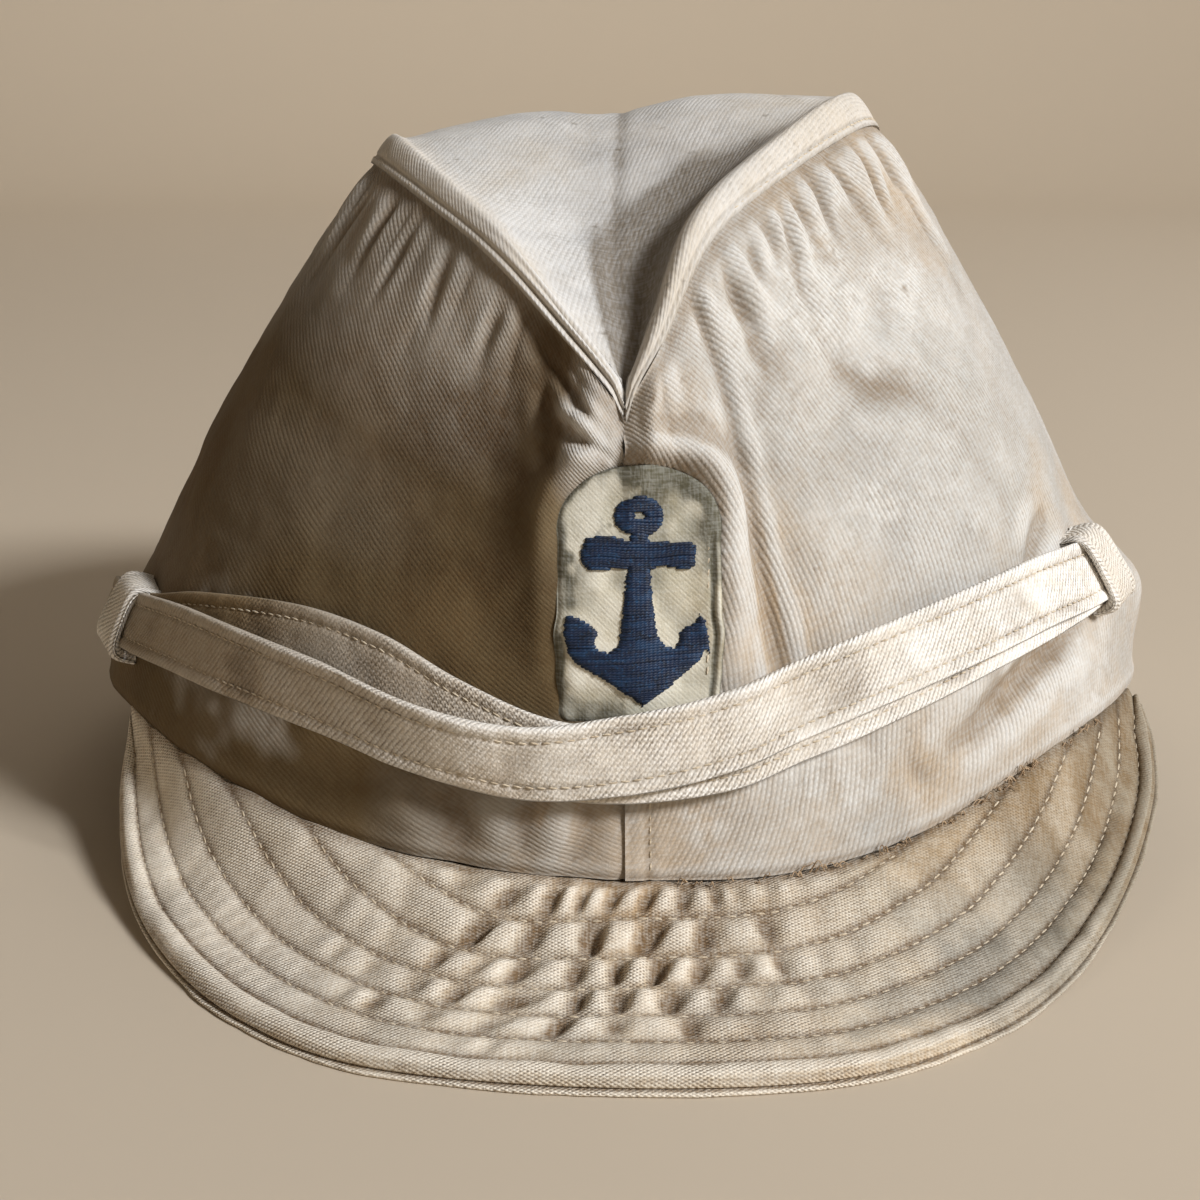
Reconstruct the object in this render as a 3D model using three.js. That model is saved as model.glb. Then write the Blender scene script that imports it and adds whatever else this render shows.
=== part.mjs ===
import * as THREE from "three";
import { TessellateModifier } from "three/addons/modifiers/TessellateModifier.js";

// A cloth field cap resting on its peak and on the back of its rim. Millimetres, Z up, the peak
// towards -Y. Left (-X) and right (+X) are as seen by someone facing the badge.

const LEFT = -1;
const RIGHT = 1;

// The crown is drawn round its own middle and the finished cap moved back by this, so that the
// origin is the middle of its footprint
const CENTRE_BACK = 19.8;

// Crown
const RIM_HALF_WIDTH = 96;
const RIM_FRONT = 92.5;
const RIM_BACK = 90;
const CROWN_CLOTH = 1.6;
const SEAM_GAP = 0.35;
const FLARE = 0.4;
const WRAP_AT_CORNER = 6.2;
const WRAP_AT_POINT = 2.8;
const WRAP_ROLL = 1.9;
const TOP_CLOTH = 1.2;
const TOP_START = 0.012;
const TOP_END = 0.988;

// Height of the rim, from the front seam (0) round to the back seam (1)
const RIM_HEIGHTS = [
  { at: 0.0, left: 11.6, right: 11.6 },
  { at: 0.085, left: 12.9, right: 11.5 },
  { at: 0.15, left: 14.6, right: 14.3 },
  { at: 0.25, left: 19.2, right: 21.6 },
  { at: 0.345, left: 21.2, right: 22.4 },
  { at: 0.43, left: 17.6, right: 19.2 },
  { at: 0.52, left: 12.5, right: 14.0 },
  { at: 0.65, left: 6.5, right: 7.0 },
  { at: 0.78, left: 2.0, right: 2.2 },
  { at: 0.88, left: 0.0, right: 0.0 },
  { at: 1.0, left: 0.0, right: 0.0 },
];

// The seam between a side panel and the top panel, from the notch at the front (0) over the
// front corner (0.37) and back down to the rear point (1)
const SEAM_LEFT = [
  { at: 0.0, x: -0.6, y: -79.5, z: 78.0 },
  { at: 0.06, x: -8.0, y: -74.0, z: 86.0 },
  { at: 0.15, x: -19.8, y: -62.0, z: 97.8 },
  { at: 0.25, x: -31.0, y: -45.0, z: 105.3 },
  { at: 0.36, x: -40.6, y: -24.0, z: 110.2 },
  { at: 0.5, x: -43.5, y: 3.0, z: 109.0 },
  { at: 0.65, x: -39.0, y: 29.0, z: 103.0 },
  { at: 0.82, x: -24.0, y: 56.0, z: 91.0 },
  { at: 1.0, x: 0.0, y: 76.0, z: 74.0 },
];
const SEAM_RIGHT = [
  { at: 0.0, x: -0.6, y: -79.5, z: 78.0 },
  { at: 0.06, x: 4.4, y: -75.0, z: 86.6 },
  { at: 0.15, x: 12.0, y: -63.0, z: 101.2 },
  { at: 0.25, x: 26.0, y: -45.0, z: 111.2 },
  { at: 0.36, x: 38.6, y: -24.0, z: 117.0 },
  { at: 0.5, x: 44.5, y: 3.0, z: 115.0 },
  { at: 0.65, x: 40.0, y: 29.0, z: 107.0 },
  { at: 0.82, x: 25.0, y: 56.0, z: 92.5 },
  { at: 1.0, x: 0.0, y: 76.0, z: 74.0 },
];

// The crease along the middle of the top panel, on the same scale as the seams, with how far the
// cloth each side of it sags
const CREASE = [
  { at: 0.0, x: 0.8, y: -78.4, z: 80.0, sag: 0 },
  { at: 0.1, x: 0.6, y: -68.0, z: 88.5, sag: 0.8 },
  { at: 0.22, x: -1.4, y: -50.0, z: 101.5, sag: 1.2 },
  { at: 0.34, x: -3.4, y: -30.0, z: 115.0, sag: -0.6 },
  { at: 0.42, x: -3.0, y: -14.0, z: 117.6, sag: -1.6 },
  { at: 0.55, x: -1.5, y: 12.0, z: 113.0, sag: 0.8 },
  { at: 0.7, x: 0.0, y: 37.0, z: 104.0, sag: 1.2 },
  { at: 0.85, x: 0.0, y: 59.0, z: 91.0, sag: 0.8 },
  { at: 1.0, x: 0.0, y: 75.5, z: 76.0, sag: 0 },
];

// Gathers below the top seam: place along the seam, how far each stands out, how far it runs down
const GATHERS_LEFT = [
  { at: 0.03, out: 0.5, down: 8 },
  { at: 0.06, out: 0.6, down: 9 },
  { at: 0.09, out: 0.5, down: 8 },
  { at: 0.12, out: 0.7, down: 9 },
  { at: 0.15, out: 0.6, down: 10 },
  { at: 0.18, out: 0.9, down: 11 },
  { at: 0.21, out: 0.7, down: 9 },
  { at: 0.24, out: 1.0, down: 12 },
  { at: 0.27, out: 0.8, down: 9 },
  { at: 0.3, out: 1.1, down: 12 },
  { at: 0.33, out: 0.9, down: 10 },
  { at: 0.36, out: 1.2, down: 12 },
  { at: 0.395, out: 1.0, down: 11 },
  { at: 0.43, out: 0.9, down: 10 },
];
const GATHERS_RIGHT = [
  { at: 0.03, out: 0.5, down: 7 },
  { at: 0.06, out: 0.9, down: 9 },
  { at: 0.09, out: 0.7, down: 8 },
  { at: 0.12, out: 1.2, down: 10 },
  { at: 0.15, out: 1.0, down: 9 },
  { at: 0.18, out: 1.8, down: 12 },
  { at: 0.21, out: 1.2, down: 9 },
  { at: 0.24, out: 1.7, down: 10 },
  { at: 0.27, out: 1.4, down: 9 },
  { at: 0.3, out: 1.7, down: 11 },
  { at: 0.33, out: 1.3, down: 10 },
  { at: 0.365, out: 2.0, down: 12 },
  { at: 0.4, out: 1.5, down: 11 },
  { at: 0.44, out: 1.1, down: 10 },
];
const REAR_GATHERS = 11;
const REAR_GATHERS_FROM = 0.485;
const REAR_GATHERS_TO = 0.965;
const REAR_GATHER_OUT = 0.9;
const REAR_GATHER_DOWN = 10;
const GATHER_HALF_WIDTH = 0.011;
const GATHER_SWELL = 3.2;

// Soft folds and hollows: place round and up the panel (0 to 1), half sizes in millimetres,
// lean from upright in degrees, and height (minus for a hollow)
const FOLDS_LEFT = [
  { at: 0.03, up: 0.93, across: 4, along: 9, lean: -20, out: 1.6 },
  { at: 0.055, up: 0.62, across: 6, along: 14, lean: 6, out: 1.4 },
  { at: 0.17, up: 0.6, across: 16, along: 22, lean: -25, out: -1.8 },
  { at: 0.3, up: 0.45, across: 18, along: 20, lean: 0, out: 1.2 },
  { at: 0.42, up: 0.1, across: 18, along: 9, lean: 0, out: 2.4 },
  { at: 0.62, up: 0.55, across: 16, along: 26, lean: 12, out: -1.6 },
  { at: 0.84, up: 0.4, across: 14, along: 22, lean: -10, out: 1.2 },
];
const FOLDS_RIGHT = [
  { at: 0.03, up: 0.92, across: 4, along: 9, lean: 22, out: 2.0 },
  { at: 0.07, up: 0.66, across: 4, along: 26, lean: 4, out: 2.2 },
  { at: 0.105, up: 0.55, across: 5, along: 24, lean: 6, out: -1.4 },
  { at: 0.2, up: 0.7, across: 13, along: 5, lean: -25, out: -1.5 },
  { at: 0.27, up: 0.5, across: 18, along: 20, lean: 10, out: 1.2 },
  { at: 0.42, up: 0.16, across: 16, along: 9, lean: 0, out: 4.2 },
  { at: 0.64, up: 0.5, across: 18, along: 24, lean: -12, out: -1.6 },
  { at: 0.85, up: 0.45, across: 14, along: 22, lean: 8, out: 1.2 },
];

// Peak
const PEAK_ENDS_LEFT = -0.335;
const PEAK_ENDS_RIGHT = 0.362;
const PEAK_CLOTH = 2.2;
const PEAK_LIP = 1.5;
const PEAK_TUCK = 1.5;
const PEAK_PUFF = 0.5;
const PEAK_EDGE_ROW = 4.2;
const PEAK_ROW_SPACING = 5.8;
const PEAK_ROWS = 6;

// The outer edge of the peak, from the left end (0) round to the right end (1): plan and height
const PEAK_EDGE = [
  { at: 0.0, x: -84.2, y: -44.8, z: 18.6 },
  { at: 0.06, x: -83.4, y: -56.0, z: 10.5 },
  { at: 0.15, x: -77.0, y: -77.5, z: 4.2 },
  { at: 0.25, x: -66.0, y: -97.5, z: 1.9 },
  { at: 0.34, x: -52.0, y: -113.6, z: 1.5 },
  { at: 0.42, x: -34.0, y: -124.6, z: 1.5 },
  { at: 0.5, x: -4.0, y: -129.4, z: 1.5 },
  { at: 0.58, x: 26.0, y: -127.6, z: 1.5 },
  { at: 0.66, x: 46.6, y: -117.4, z: 1.5 },
  { at: 0.74, x: 61.4, y: -103.0, z: 1.9 },
  { at: 0.83, x: 75.0, y: -82.6, z: 4.4 },
  { at: 0.92, x: 86.5, y: -59.0, z: 10.2 },
  { at: 0.97, x: 89.6, y: -46.0, z: 16.0 },
  { at: 1.0, x: 89.2, y: -39.5, z: 20.4 },
];

// Fall of the peak from the seam (0) to the edge (1), as the share of its height still left
const PEAK_FALL = [
  { at: 0.0, high: 1.0 },
  { at: 0.1, high: 0.84 },
  { at: 0.22, high: 0.55 },
  { at: 0.35, high: 0.3 },
  { at: 0.5, high: 0.13 },
  { at: 0.65, high: 0.06 },
  { at: 0.82, high: 0.02 },
  { at: 1.0, high: 0.0 },
];

// Chin straps: place round the crown from the front seam (half turn to the left -1, to the right 1),
// height of the middle line, how far the inner face stands off the crown, how far the top edge
// tips outwards in degrees, and the width
const STRAP_CLOTH = 1.3;
const STRAP_FRONT = [
  { at: -0.405, z: 32.8, off: 2.3, tip: 0, wide: 9.6 },
  { at: -0.34, z: 35.0, off: 2.3, tip: 0, wide: 10.2 },
  { at: -0.27, z: 36.6, off: 3.0, tip: 6, wide: 10.8 },
  { at: -0.17, z: 35.0, off: 4.6, tip: 16, wide: 11.2 },
  { at: -0.1, z: 31.2, off: 5.6, tip: 24, wide: 11.4 },
  { at: -0.05, z: 29.6, off: 5.0, tip: 18, wide: 11.4 },
  { at: 0.0, z: 31.0, off: 3.6, tip: 2, wide: 11.6 },
  { at: 0.04, z: 32.8, off: 3.4, tip: 0, wide: 11.6 },
  { at: 0.14, z: 39.6, off: 2.6, tip: 0, wide: 11.4 },
  { at: 0.25, z: 44.6, off: 2.4, tip: 0, wide: 11.2 },
  { at: 0.32, z: 44.4, off: 2.3, tip: 0, wide: 11.0 },
  { at: 0.375, z: 43.0, off: 2.3, tip: 0, wide: 11.0 },
];
const STRAP_BACK = [
  { at: -0.415, z: 32.4, off: 0.6, tip: 0, wide: 9.6 },
  { at: -0.34, z: 35.2, off: 0.6, tip: 0, wide: 10.2 },
  { at: -0.28, z: 39.0, off: 0.6, tip: 0, wide: 10.6 },
  { at: -0.2, z: 41.2, off: 0.8, tip: 0, wide: 10.8 },
  { at: -0.14, z: 39.2, off: 1.2, tip: 0, wide: 11.0 },
  { at: -0.09, z: 34.2, off: 1.8, tip: 0, wide: 11.2 },
  { at: -0.04, z: 29.8, off: 1.8, tip: 0, wide: 11.2 },
  { at: 0.0, z: 29.2, off: 1.8, tip: 0, wide: 11.2 },
  { at: 0.05, z: 30.4, off: 1.8, tip: 0, wide: 11.2 },
  { at: 0.1, z: 33.6, off: 1.2, tip: 0, wide: 11.2 },
  { at: 0.16, z: 37.6, off: 0.7, tip: 0, wide: 11.2 },
  { at: 0.24, z: 42.0, off: 0.6, tip: 0, wide: 11.0 },
  { at: 0.32, z: 43.4, off: 0.6, tip: 0, wide: 11.0 },
  { at: 0.385, z: 42.4, off: 0.6, tip: 0, wide: 11.0 },
];

// Keepers: cloth bands sewn to the crown above and below both straps: place round the crown,
// height, turn to follow the straps in degrees, and size up the crown
const KEEPER_CLOTH = 1.0;
const KEEPER_WIDTH = 9.5;
const KEEPER_DEPTH = 5.2;
const KEEPER_FOOT = 0.35;
const KEEPER_SQUARE = 0.28;
const KEEPERS = [
  { name: "keeper_left", at: -0.355, z: 34.6, turn: 6, tall: 13.6 },
  { name: "keeper_right", at: 0.338, z: 44.0, turn: -4, tall: 15.0 },
];

// Badge: an arched patch with a raised anchor
const PATCH_X = 1.4;
const PATCH_BOTTOM = 35.0;
const PATCH_TOP = 70.5;
const PATCH_HALF_WIDTH = 10.9;
const PATCH_SHOULDER = 9.0;
const PATCH_CLOTH = 0.9;
const PATCH_OFF = 0.45;
const ANCHOR_X = 1.4;
const ANCHOR_CLOTH = 0.7;
const ANCHOR_LONGEST_EDGE = 6;
const ANCHOR_OFF = PATCH_OFF + PATCH_CLOTH + 0.3;
const RING_Z = 63.4;
const RING_HALF_WIDTH = 3.3;
const RING_HALF_HEIGHT = 2.6;
const RING_HOLE = 0.9;
const RING_HOLE_SIDES = 8;

// Half outline of the anchor below its ring, from the neck down to the point of the crown
const ANCHOR_SIDE = [
  { x: 1.1, z: 61.4 },
  { x: 1.3, z: 60.5 },
  { x: 4.6, z: 60.6 },
  { x: 7.8, z: 60.4 },
  { x: 7.9, z: 56.2 },
  { x: 4.6, z: 56.1 },
  { x: 1.5, z: 55.8 },
  { x: 1.9, z: 51.5 },
  { x: 2.3, z: 47.0 },
  { x: 4.4, z: 46.2 },
  { x: 6.2, z: 47.8 },
  { x: 5.2, z: 48.6 },
  { x: 8.2, z: 51.2 },
  { x: 9.9, z: 44.8 },
  { x: 8.7, z: 45.9 },
  { x: 7.4, z: 42.8 },
  { x: 4.7, z: 40.9 },
  { x: 2.2, z: 39.2 },
];
const ANCHOR_POINT_Z = 37.7;

const OFF_WHITE = { color: 0xb9a88c, roughness: 0.93, metalness: 0 };
const PALE_TOP = { color: 0xb4aea4, roughness: 0.93, metalness: 0 };
const PEAK_TAN = { color: 0xa8906a, roughness: 0.92, metalness: 0 };
const PATCH_GREEN = { color: 0x9c9d80, roughness: 0.9, metalness: 0 };
const NAVY = { color: 0x1b3054, roughness: 0.7, metalness: 0 };

// Smooth value of one column of a table at a place between its rows
function along(rows, key, place) {
  const last = rows.length - 1;
  let row = 0;
  while (row < last - 1 && place > rows[row + 1].at) row += 1;
  const slope = (k) => {
    const before = rows[Math.max(k - 1, 0)];
    const after = rows[Math.min(k + 1, last)];
    return (after[key] - before[key]) / (after.at - before.at);
  };
  const from = rows[row];
  const to = rows[row + 1];
  const span = to.at - from.at;
  const s = THREE.MathUtils.clamp((place - from.at) / span, 0, 1);
  const bend = s * s * (3 - 2 * s);
  const leave = s * (1 - s) * (1 - s) * span * slope(row);
  const arrive = s * s * (s - 1) * span * slope(row + 1);
  return from[key] + (to[key] - from[key]) * bend + leave + arrive;
}

function pointAlong(rows, place) {
  const at = (key) => along(rows, key, place);
  return new THREE.Vector3(at("x"), at("y"), at("z"));
}

function rimPoint(side, round) {
  const turn = round * Math.PI;
  const depth = turn < Math.PI / 2 ? RIM_FRONT : RIM_BACK;
  const height = along(RIM_HEIGHTS, side === LEFT ? "left" : "right", round);
  return new THREE.Vector3(
    side * RIM_HALF_WIDTH * Math.sin(turn),
    -depth * Math.cos(turn),
    Math.max(height, 0),
  );
}

function seamPoint(side, round) {
  return pointAlong(side === LEFT ? SEAM_LEFT : SEAM_RIGHT, round);
}

// The plain side of the crown: upright at the rim, then leaning in to the top seam
function wallPoint(side, round, up) {
  const rim = rimPoint(side, round);
  const seam = seamPoint(side, round);
  const inward = (1 - FLARE) * up + FLARE * up * up;
  const point = rim.clone().lerp(seam, inward);
  point.z = THREE.MathUtils.lerp(rim.z, seam.z, up);
  return point;
}

function wallNormal(side, round, up) {
  const step = 0.004;
  const a = wallPoint(side, Math.max(round - step, 0), up);
  const b = wallPoint(side, Math.min(round + step, 1), up);
  const c = wallPoint(side, round, Math.max(up - step, 0));
  const d = wallPoint(side, round, Math.min(up + step, 1));
  return b.sub(a).cross(d.sub(c)).multiplyScalar(side).normalize();
}

function gathersOf(side) {
  const rows = [...(side === LEFT ? GATHERS_LEFT : GATHERS_RIGHT)];
  for (let i = 0; i < REAR_GATHERS; i += 1) {
    const share = i / (REAR_GATHERS - 1);
    const at = THREE.MathUtils.lerp(REAR_GATHERS_FROM, REAR_GATHERS_TO, share);
    rows.push({ at, out: REAR_GATHER_OUT, down: REAR_GATHER_DOWN });
  }
  return rows;
}

function wallSize(round, up) {
  const long = THREE.MathUtils.lerp(298, 190, up);
  const tall = THREE.MathUtils.lerp(72, 100, Math.sin(round * Math.PI));
  return { long, tall };
}

// How far the cloth stands out of the plain wall: soft folds, then gathers that start flat at
// the seam, swell a few millimetres below it and run out
function relief(side, gathers, round, up) {
  const size = wallSize(round, up);
  let out = 0;
  for (const fold of side === LEFT ? FOLDS_LEFT : FOLDS_RIGHT) {
    const lean = THREE.MathUtils.degToRad(fold.lean);
    const across = (round - fold.at) * size.long;
    const above = (up - fold.up) * size.tall;
    const s = (across * Math.cos(lean) - above * Math.sin(lean)) / fold.across;
    const t = (across * Math.sin(lean) + above * Math.cos(lean)) / fold.along;
    out += fold.out * Math.exp(-s * s - t * t);
  }
  const below = (1 - up) * size.tall;
  for (const gather of gathers) {
    const s = (round - gather.at) / GATHER_HALF_WIDTH;
    const swell = Math.min(below / GATHER_SWELL, 1);
    const fade = Math.exp(-((below / gather.down) ** 2));
    out += gather.out * Math.exp(-s * s) * swell * fade;
  }
  return out;
}

function clothPoint(side, gathers, round, up, off) {
  const push = relief(side, gathers, round, up) + off;
  return wallPoint(side, round, up).addScaledVector(wallNormal(side, round, up), push);
}

// A closed solid between two matching grids of points
function sheetSolid(outer, inner) {
  const rows = outer.length;
  const columns = outer[0].length;
  const points = [...outer.flat(), ...inner.flat()];
  const back = rows * columns;
  const faces = [];
  const quad = (a, b, c, d) => faces.push(a, b, c, a, c, d);
  const at = (row, column) => row * columns + column;
  for (let i = 0; i < rows - 1; i += 1) {
    for (let j = 0; j < columns - 1; j += 1) {
      quad(at(i, j), at(i + 1, j), at(i + 1, j + 1), at(i, j + 1));
      quad(back + at(i, j), back + at(i, j + 1), back + at(i + 1, j + 1), back + at(i + 1, j));
    }
    const end = columns - 1;
    quad(at(i, 0), back + at(i, 0), back + at(i + 1, 0), at(i + 1, 0));
    quad(at(i, end), at(i + 1, end), back + at(i + 1, end), back + at(i, end));
  }
  for (let j = 0; j < columns - 1; j += 1) {
    const end = rows - 1;
    quad(at(0, j), at(0, j + 1), back + at(0, j + 1), back + at(0, j));
    quad(at(end, j), back + at(end, j), back + at(end, j + 1), at(end, j + 1));
  }
  const geometry = new THREE.BufferGeometry().setFromPoints(points);
  geometry.setIndex(faces);
  return outward(geometry);
}

// Turns the faces round where the closed solid would come out inside out
function outward(geometry) {
  const place = geometry.getAttribute("position");
  const index = geometry.getIndex();
  const corner = (k) => new THREE.Vector3().fromBufferAttribute(place, index.getX(k));
  let volume = 0;
  for (let k = 0; k < index.count; k += 3) {
    volume += corner(k).dot(corner(k + 1).cross(corner(k + 2)));
  }
  if (volume < 0) {
    for (let k = 0; k < index.count; k += 3) {
      const first = index.getX(k);
      index.setX(k, index.getX(k + 1));
      index.setX(k + 1, first);
    }
  }
  geometry.computeVertexNormals();
  return geometry;
}

function mesh(name, geometry, finish) {
  geometry.translate(0, CENTRE_BACK, 0);
  const made = new THREE.Mesh(geometry, new THREE.MeshStandardMaterial(finish));
  made.name = name;
  return made;
}

// Places round a side panel: the top and the foot of every gather
function panelPlaces(gathers) {
  const places = [0];
  gathers.forEach((gather, i) => {
    const before = i === 0 ? 0 : gathers[i - 1].at;
    places.push((before + gather.at) / 2, gather.at);
  });
  return [...places, (gathers[gathers.length - 1].at + 1) / 2, 1];
}

function sidePanel(side) {
  const gathers = gathersOf(side);
  const heights = [0, 0.09, 0.2, 0.32, 0.44, 0.56, 0.68, 0.79, 0.87, 0.925, 0.965, 1];
  const outer = [];
  const inner = [];
  for (const round of panelPlaces(gathers)) {
    const clear = Math.min(round / 0.03, (1 - round) / 0.03, 1);
    const face = heights.map((up) => {
      const point = clothPoint(side, gathers, round, up, 0);
      point.x += (1 - clear) * side * SEAM_GAP * 0.5;
      if (up === 0) point.z = rimPoint(side, round).z;
      return point;
    });
    outer.push(face);
    inner.push(
      face.map((point, k) => {
        const normal = wallNormal(side, round, heights[k]);
        normal.x *= clear;
        if (k === 0) normal.z = 0;
        return point.clone().addScaledVector(normal.normalize(), -CROWN_CLOTH);
      }),
    );
  }
  const name = side === LEFT ? "side_panel_left" : "side_panel_right";
  return mesh(name, sheetSolid(outer, inner), OFF_WHITE);
}

// Half a section of the top panel: up the turned-down strip, over the ridge, down to the crease
function topHalf(side, round) {
  const seam = seamPoint(side, round);
  const rise = seam.clone().sub(wallPoint(side, round, 0.96)).normalize();
  const out = wallNormal(side, round, 1);
  const corner = Math.sin(Math.PI * Math.min(round / 0.6, 1) * 0.5);
  const tail = Math.min((1 - round) / 0.3, 1);
  const wrap = THREE.MathUtils.lerp(WRAP_AT_POINT, WRAP_AT_CORNER, corner * tail);
  const strip = (up, off) => seam.clone().addScaledVector(rise, up).addScaledVector(out, off);
  const ridge = strip(wrap, -WRAP_ROLL);
  const crease = pointAlong(CREASE, round);
  const sag = along(CREASE, "sag", round);
  const wall = [0.18, 0.42, 0.7].map((share) => {
    const point = ridge.clone().lerp(crease, share);
    point.z -= sag * 4 * share * (1 - share);
    return point;
  });
  const roll = strip(wrap - 0.35, -0.45);
  return [strip(SEAM_GAP, 0.15), strip(wrap * 0.6, 0.35), roll, ridge, ...wall];
}

function gridNormal(grid, i, j) {
  const a = grid[Math.max(i - 1, 0)][j];
  const b = grid[Math.min(i + 1, grid.length - 1)][j];
  const c = grid[i][Math.max(j - 1, 0)];
  const d = grid[i][Math.min(j + 1, grid[i].length - 1)];
  return b.clone().sub(a).cross(d.clone().sub(c)).normalize();
}

function topPanel() {
  const stations = 34;
  const outer = [];
  for (let i = 0; i < stations; i += 1) {
    const share = i / (stations - 1);
    const round = THREE.MathUtils.lerp(TOP_START, TOP_END, share);
    const left = topHalf(LEFT, round);
    const right = topHalf(RIGHT, round).reverse();
    outer.push([...left, pointAlong(CREASE, round), ...right]);
  }
  const inner = outer.map((row, i) => {
    const ends = Math.min(i + 1, stations - i, 4) / 4;
    return row.map((point, j) =>
      point.clone().addScaledVector(gridNormal(outer, i, j), TOP_CLOTH * ends),
    );
  });
  return mesh("top_panel", sheetSolid(outer, inner), PALE_TOP);
}

// Shares of the way from the seam to the outer edge: stitch rows at fixed distances from the edge,
// crowded against the seam where the peak is too narrow for them all, and a ridge between each two
function peakShares(width) {
  const shares = [{ out: 0, puff: 0 }];
  for (let row = PEAK_ROWS - 1; row >= 0; row -= 1) {
    const stitch = PEAK_EDGE_ROW + row * PEAK_ROW_SPACING;
    const least = 0.012 * shares.length;
    const ridge = stitch + PEAK_ROW_SPACING / 2;
    shares.push({ out: Math.max(1 - ridge / width, least), puff: ridge < width ? PEAK_PUFF : 0 });
    shares.push({ out: Math.max(1 - stitch / width, least + 0.012), puff: 0 });
  }
  return [...shares, { out: 1 - PEAK_EDGE_ROW / 2 / width, puff: PEAK_PUFF }, { out: 1, puff: 0 }];
}

// The peak: its inner edge tucked under the rim, its quilted face falling to the outer edge
function peak() {
  const stations = 41;
  const top = [];
  const under = [];
  for (let i = 0; i < stations; i += 1) {
    const share = i / (stations - 1);
    const place = THREE.MathUtils.lerp(PEAK_ENDS_LEFT, PEAK_ENDS_RIGHT, share);
    const side = place < 0 ? LEFT : RIGHT;
    const rim = rimPoint(side, Math.abs(place));
    rim.z -= SEAM_GAP;
    const edge = pointAlong(PEAK_EDGE, share);
    const width = Math.max(rim.distanceTo(edge), 2 * PEAK_EDGE_ROW);
    const tuck = new THREE.Vector3(-rim.x, -rim.y, 0).setLength(PEAK_TUCK).add(rim);
    const shares = peakShares(width);
    const face = shares.map(({ out, puff }) => {
      const point = rim.clone().lerp(edge, out);
      point.z = edge.z + (rim.z - edge.z) * along(PEAK_FALL, "high", out) + puff;
      return point;
    });
    const floor = shares.map(({ out, puff }, k) => {
      const thick = out === 1 ? PEAK_LIP : PEAK_CLOTH + puff;
      return face[k].clone().setZ(Math.max(face[k].z - thick, 0));
    });
    top.push([tuck, ...face]);
    under.push([tuck.clone().setZ(tuck.z - PEAK_CLOTH), ...floor]);
  }
  return mesh("peak", sheetSolid(top, under), PEAK_TAN);
}

// A point off the crown at a signed place round it and a height above the table
function crownPoint(place, height, off) {
  const side = place < 0 ? LEFT : RIGHT;
  const round = Math.abs(place);
  const foot = rimPoint(side, round).z;
  const up = (height - foot) / (seamPoint(side, round).z - foot);
  return clothPoint(side, [], round, up, off);
}

// The crown's own directions at such a point: round it, up it and out of it
function crownFrame(place, height) {
  const step = 0.01;
  const out = crownPoint(place, height, 5).sub(crownPoint(place, height, 0)).normalize();
  const round = crownPoint(place + step, height, 0).sub(crownPoint(place - step, height, 0));
  round.addScaledVector(out, -round.dot(out)).normalize();
  const up = round.clone().cross(out).multiplyScalar(-1).normalize();
  return { round, up: up.z < 0 ? up.negate() : up, out };
}

function strap(name, rows) {
  const stations = 44;
  const outer = [];
  const inner = [];
  for (let i = 0; i < stations; i += 1) {
    const share = i / (stations - 1);
    const place = THREE.MathUtils.lerp(rows[0].at, rows[rows.length - 1].at, share);
    const height = along(rows, "z", place);
    const tip = THREE.MathUtils.degToRad(along(rows, "tip", place));
    const frame = crownFrame(place, height);
    const middle = crownPoint(place, height, along(rows, "off", place));
    const up = frame.up.multiplyScalar(Math.cos(tip)).addScaledVector(frame.out, Math.sin(tip));
    const face = frame.round.cross(up).normalize();
    face.multiplyScalar(Math.sign(face.dot(frame.out)) * STRAP_CLOTH);
    const wide = along(rows, "wide", place);
    const back = [-0.5, 0, 0.5].map((edge) => middle.clone().addScaledVector(up, edge * wide));
    inner.push(back);
    outer.push(back.map((point) => point.clone().add(face)));
  }
  return mesh(name, sheetSolid(outer, inner), OFF_WHITE);
}

// A cloth band arched over the two straps, both its feet on the crown
function keeper(row) {
  const frame = crownFrame(row.at, row.z);
  const turn = THREE.MathUtils.degToRad(row.turn);
  frame.round.applyAxisAngle(frame.out, turn);
  frame.up.applyAxisAngle(frame.out, turn);
  const stations = 17;
  const arch = (inset) => {
    const bow = [];
    for (let i = 0; i < stations; i += 1) {
      const angle = (i / (stations - 1) - 0.5) * Math.PI;
      const square = (value) => Math.sign(value) * Math.abs(value) ** KEEPER_SQUARE;
      const up = square(Math.sin(angle)) * (row.tall / 2 - inset);
      const out = square(Math.max(Math.cos(angle), 0)) * (KEEPER_DEPTH - inset);
      const foot = crownPoint(row.at, row.z + up * frame.up.z, KEEPER_FOOT);
      const middle = foot.addScaledVector(frame.out, out);
      bow.push([-0.5, 0.5].map((end) => middle.clone().addScaledVector(frame.round, end * KEEPER_WIDTH)));
    }
    return bow;
  };
  return mesh(row.name, sheetSolid(arch(0), arch(KEEPER_CLOTH)), OFF_WHITE);
}

// The front face of the crown at a distance right of the front seam and a height
function frontPoint(x, height, off) {
  let low = -0.2;
  let high = 0.2;
  for (let i = 0; i < 24; i += 1) {
    const middle = (low + high) / 2;
    if (crownPoint(middle, height, 0).x < x) low = middle;
    else high = middle;
  }
  return crownPoint((low + high) / 2, height, off);
}

// Half width of the patch at a height: straight sides under a round arch
function patchHalfWidth(height) {
  const above = Math.max(height - (PATCH_TOP - PATCH_SHOULDER), 0) / PATCH_SHOULDER;
  return PATCH_HALF_WIDTH * Math.sqrt(Math.max(1 - above * above, 0));
}

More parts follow.
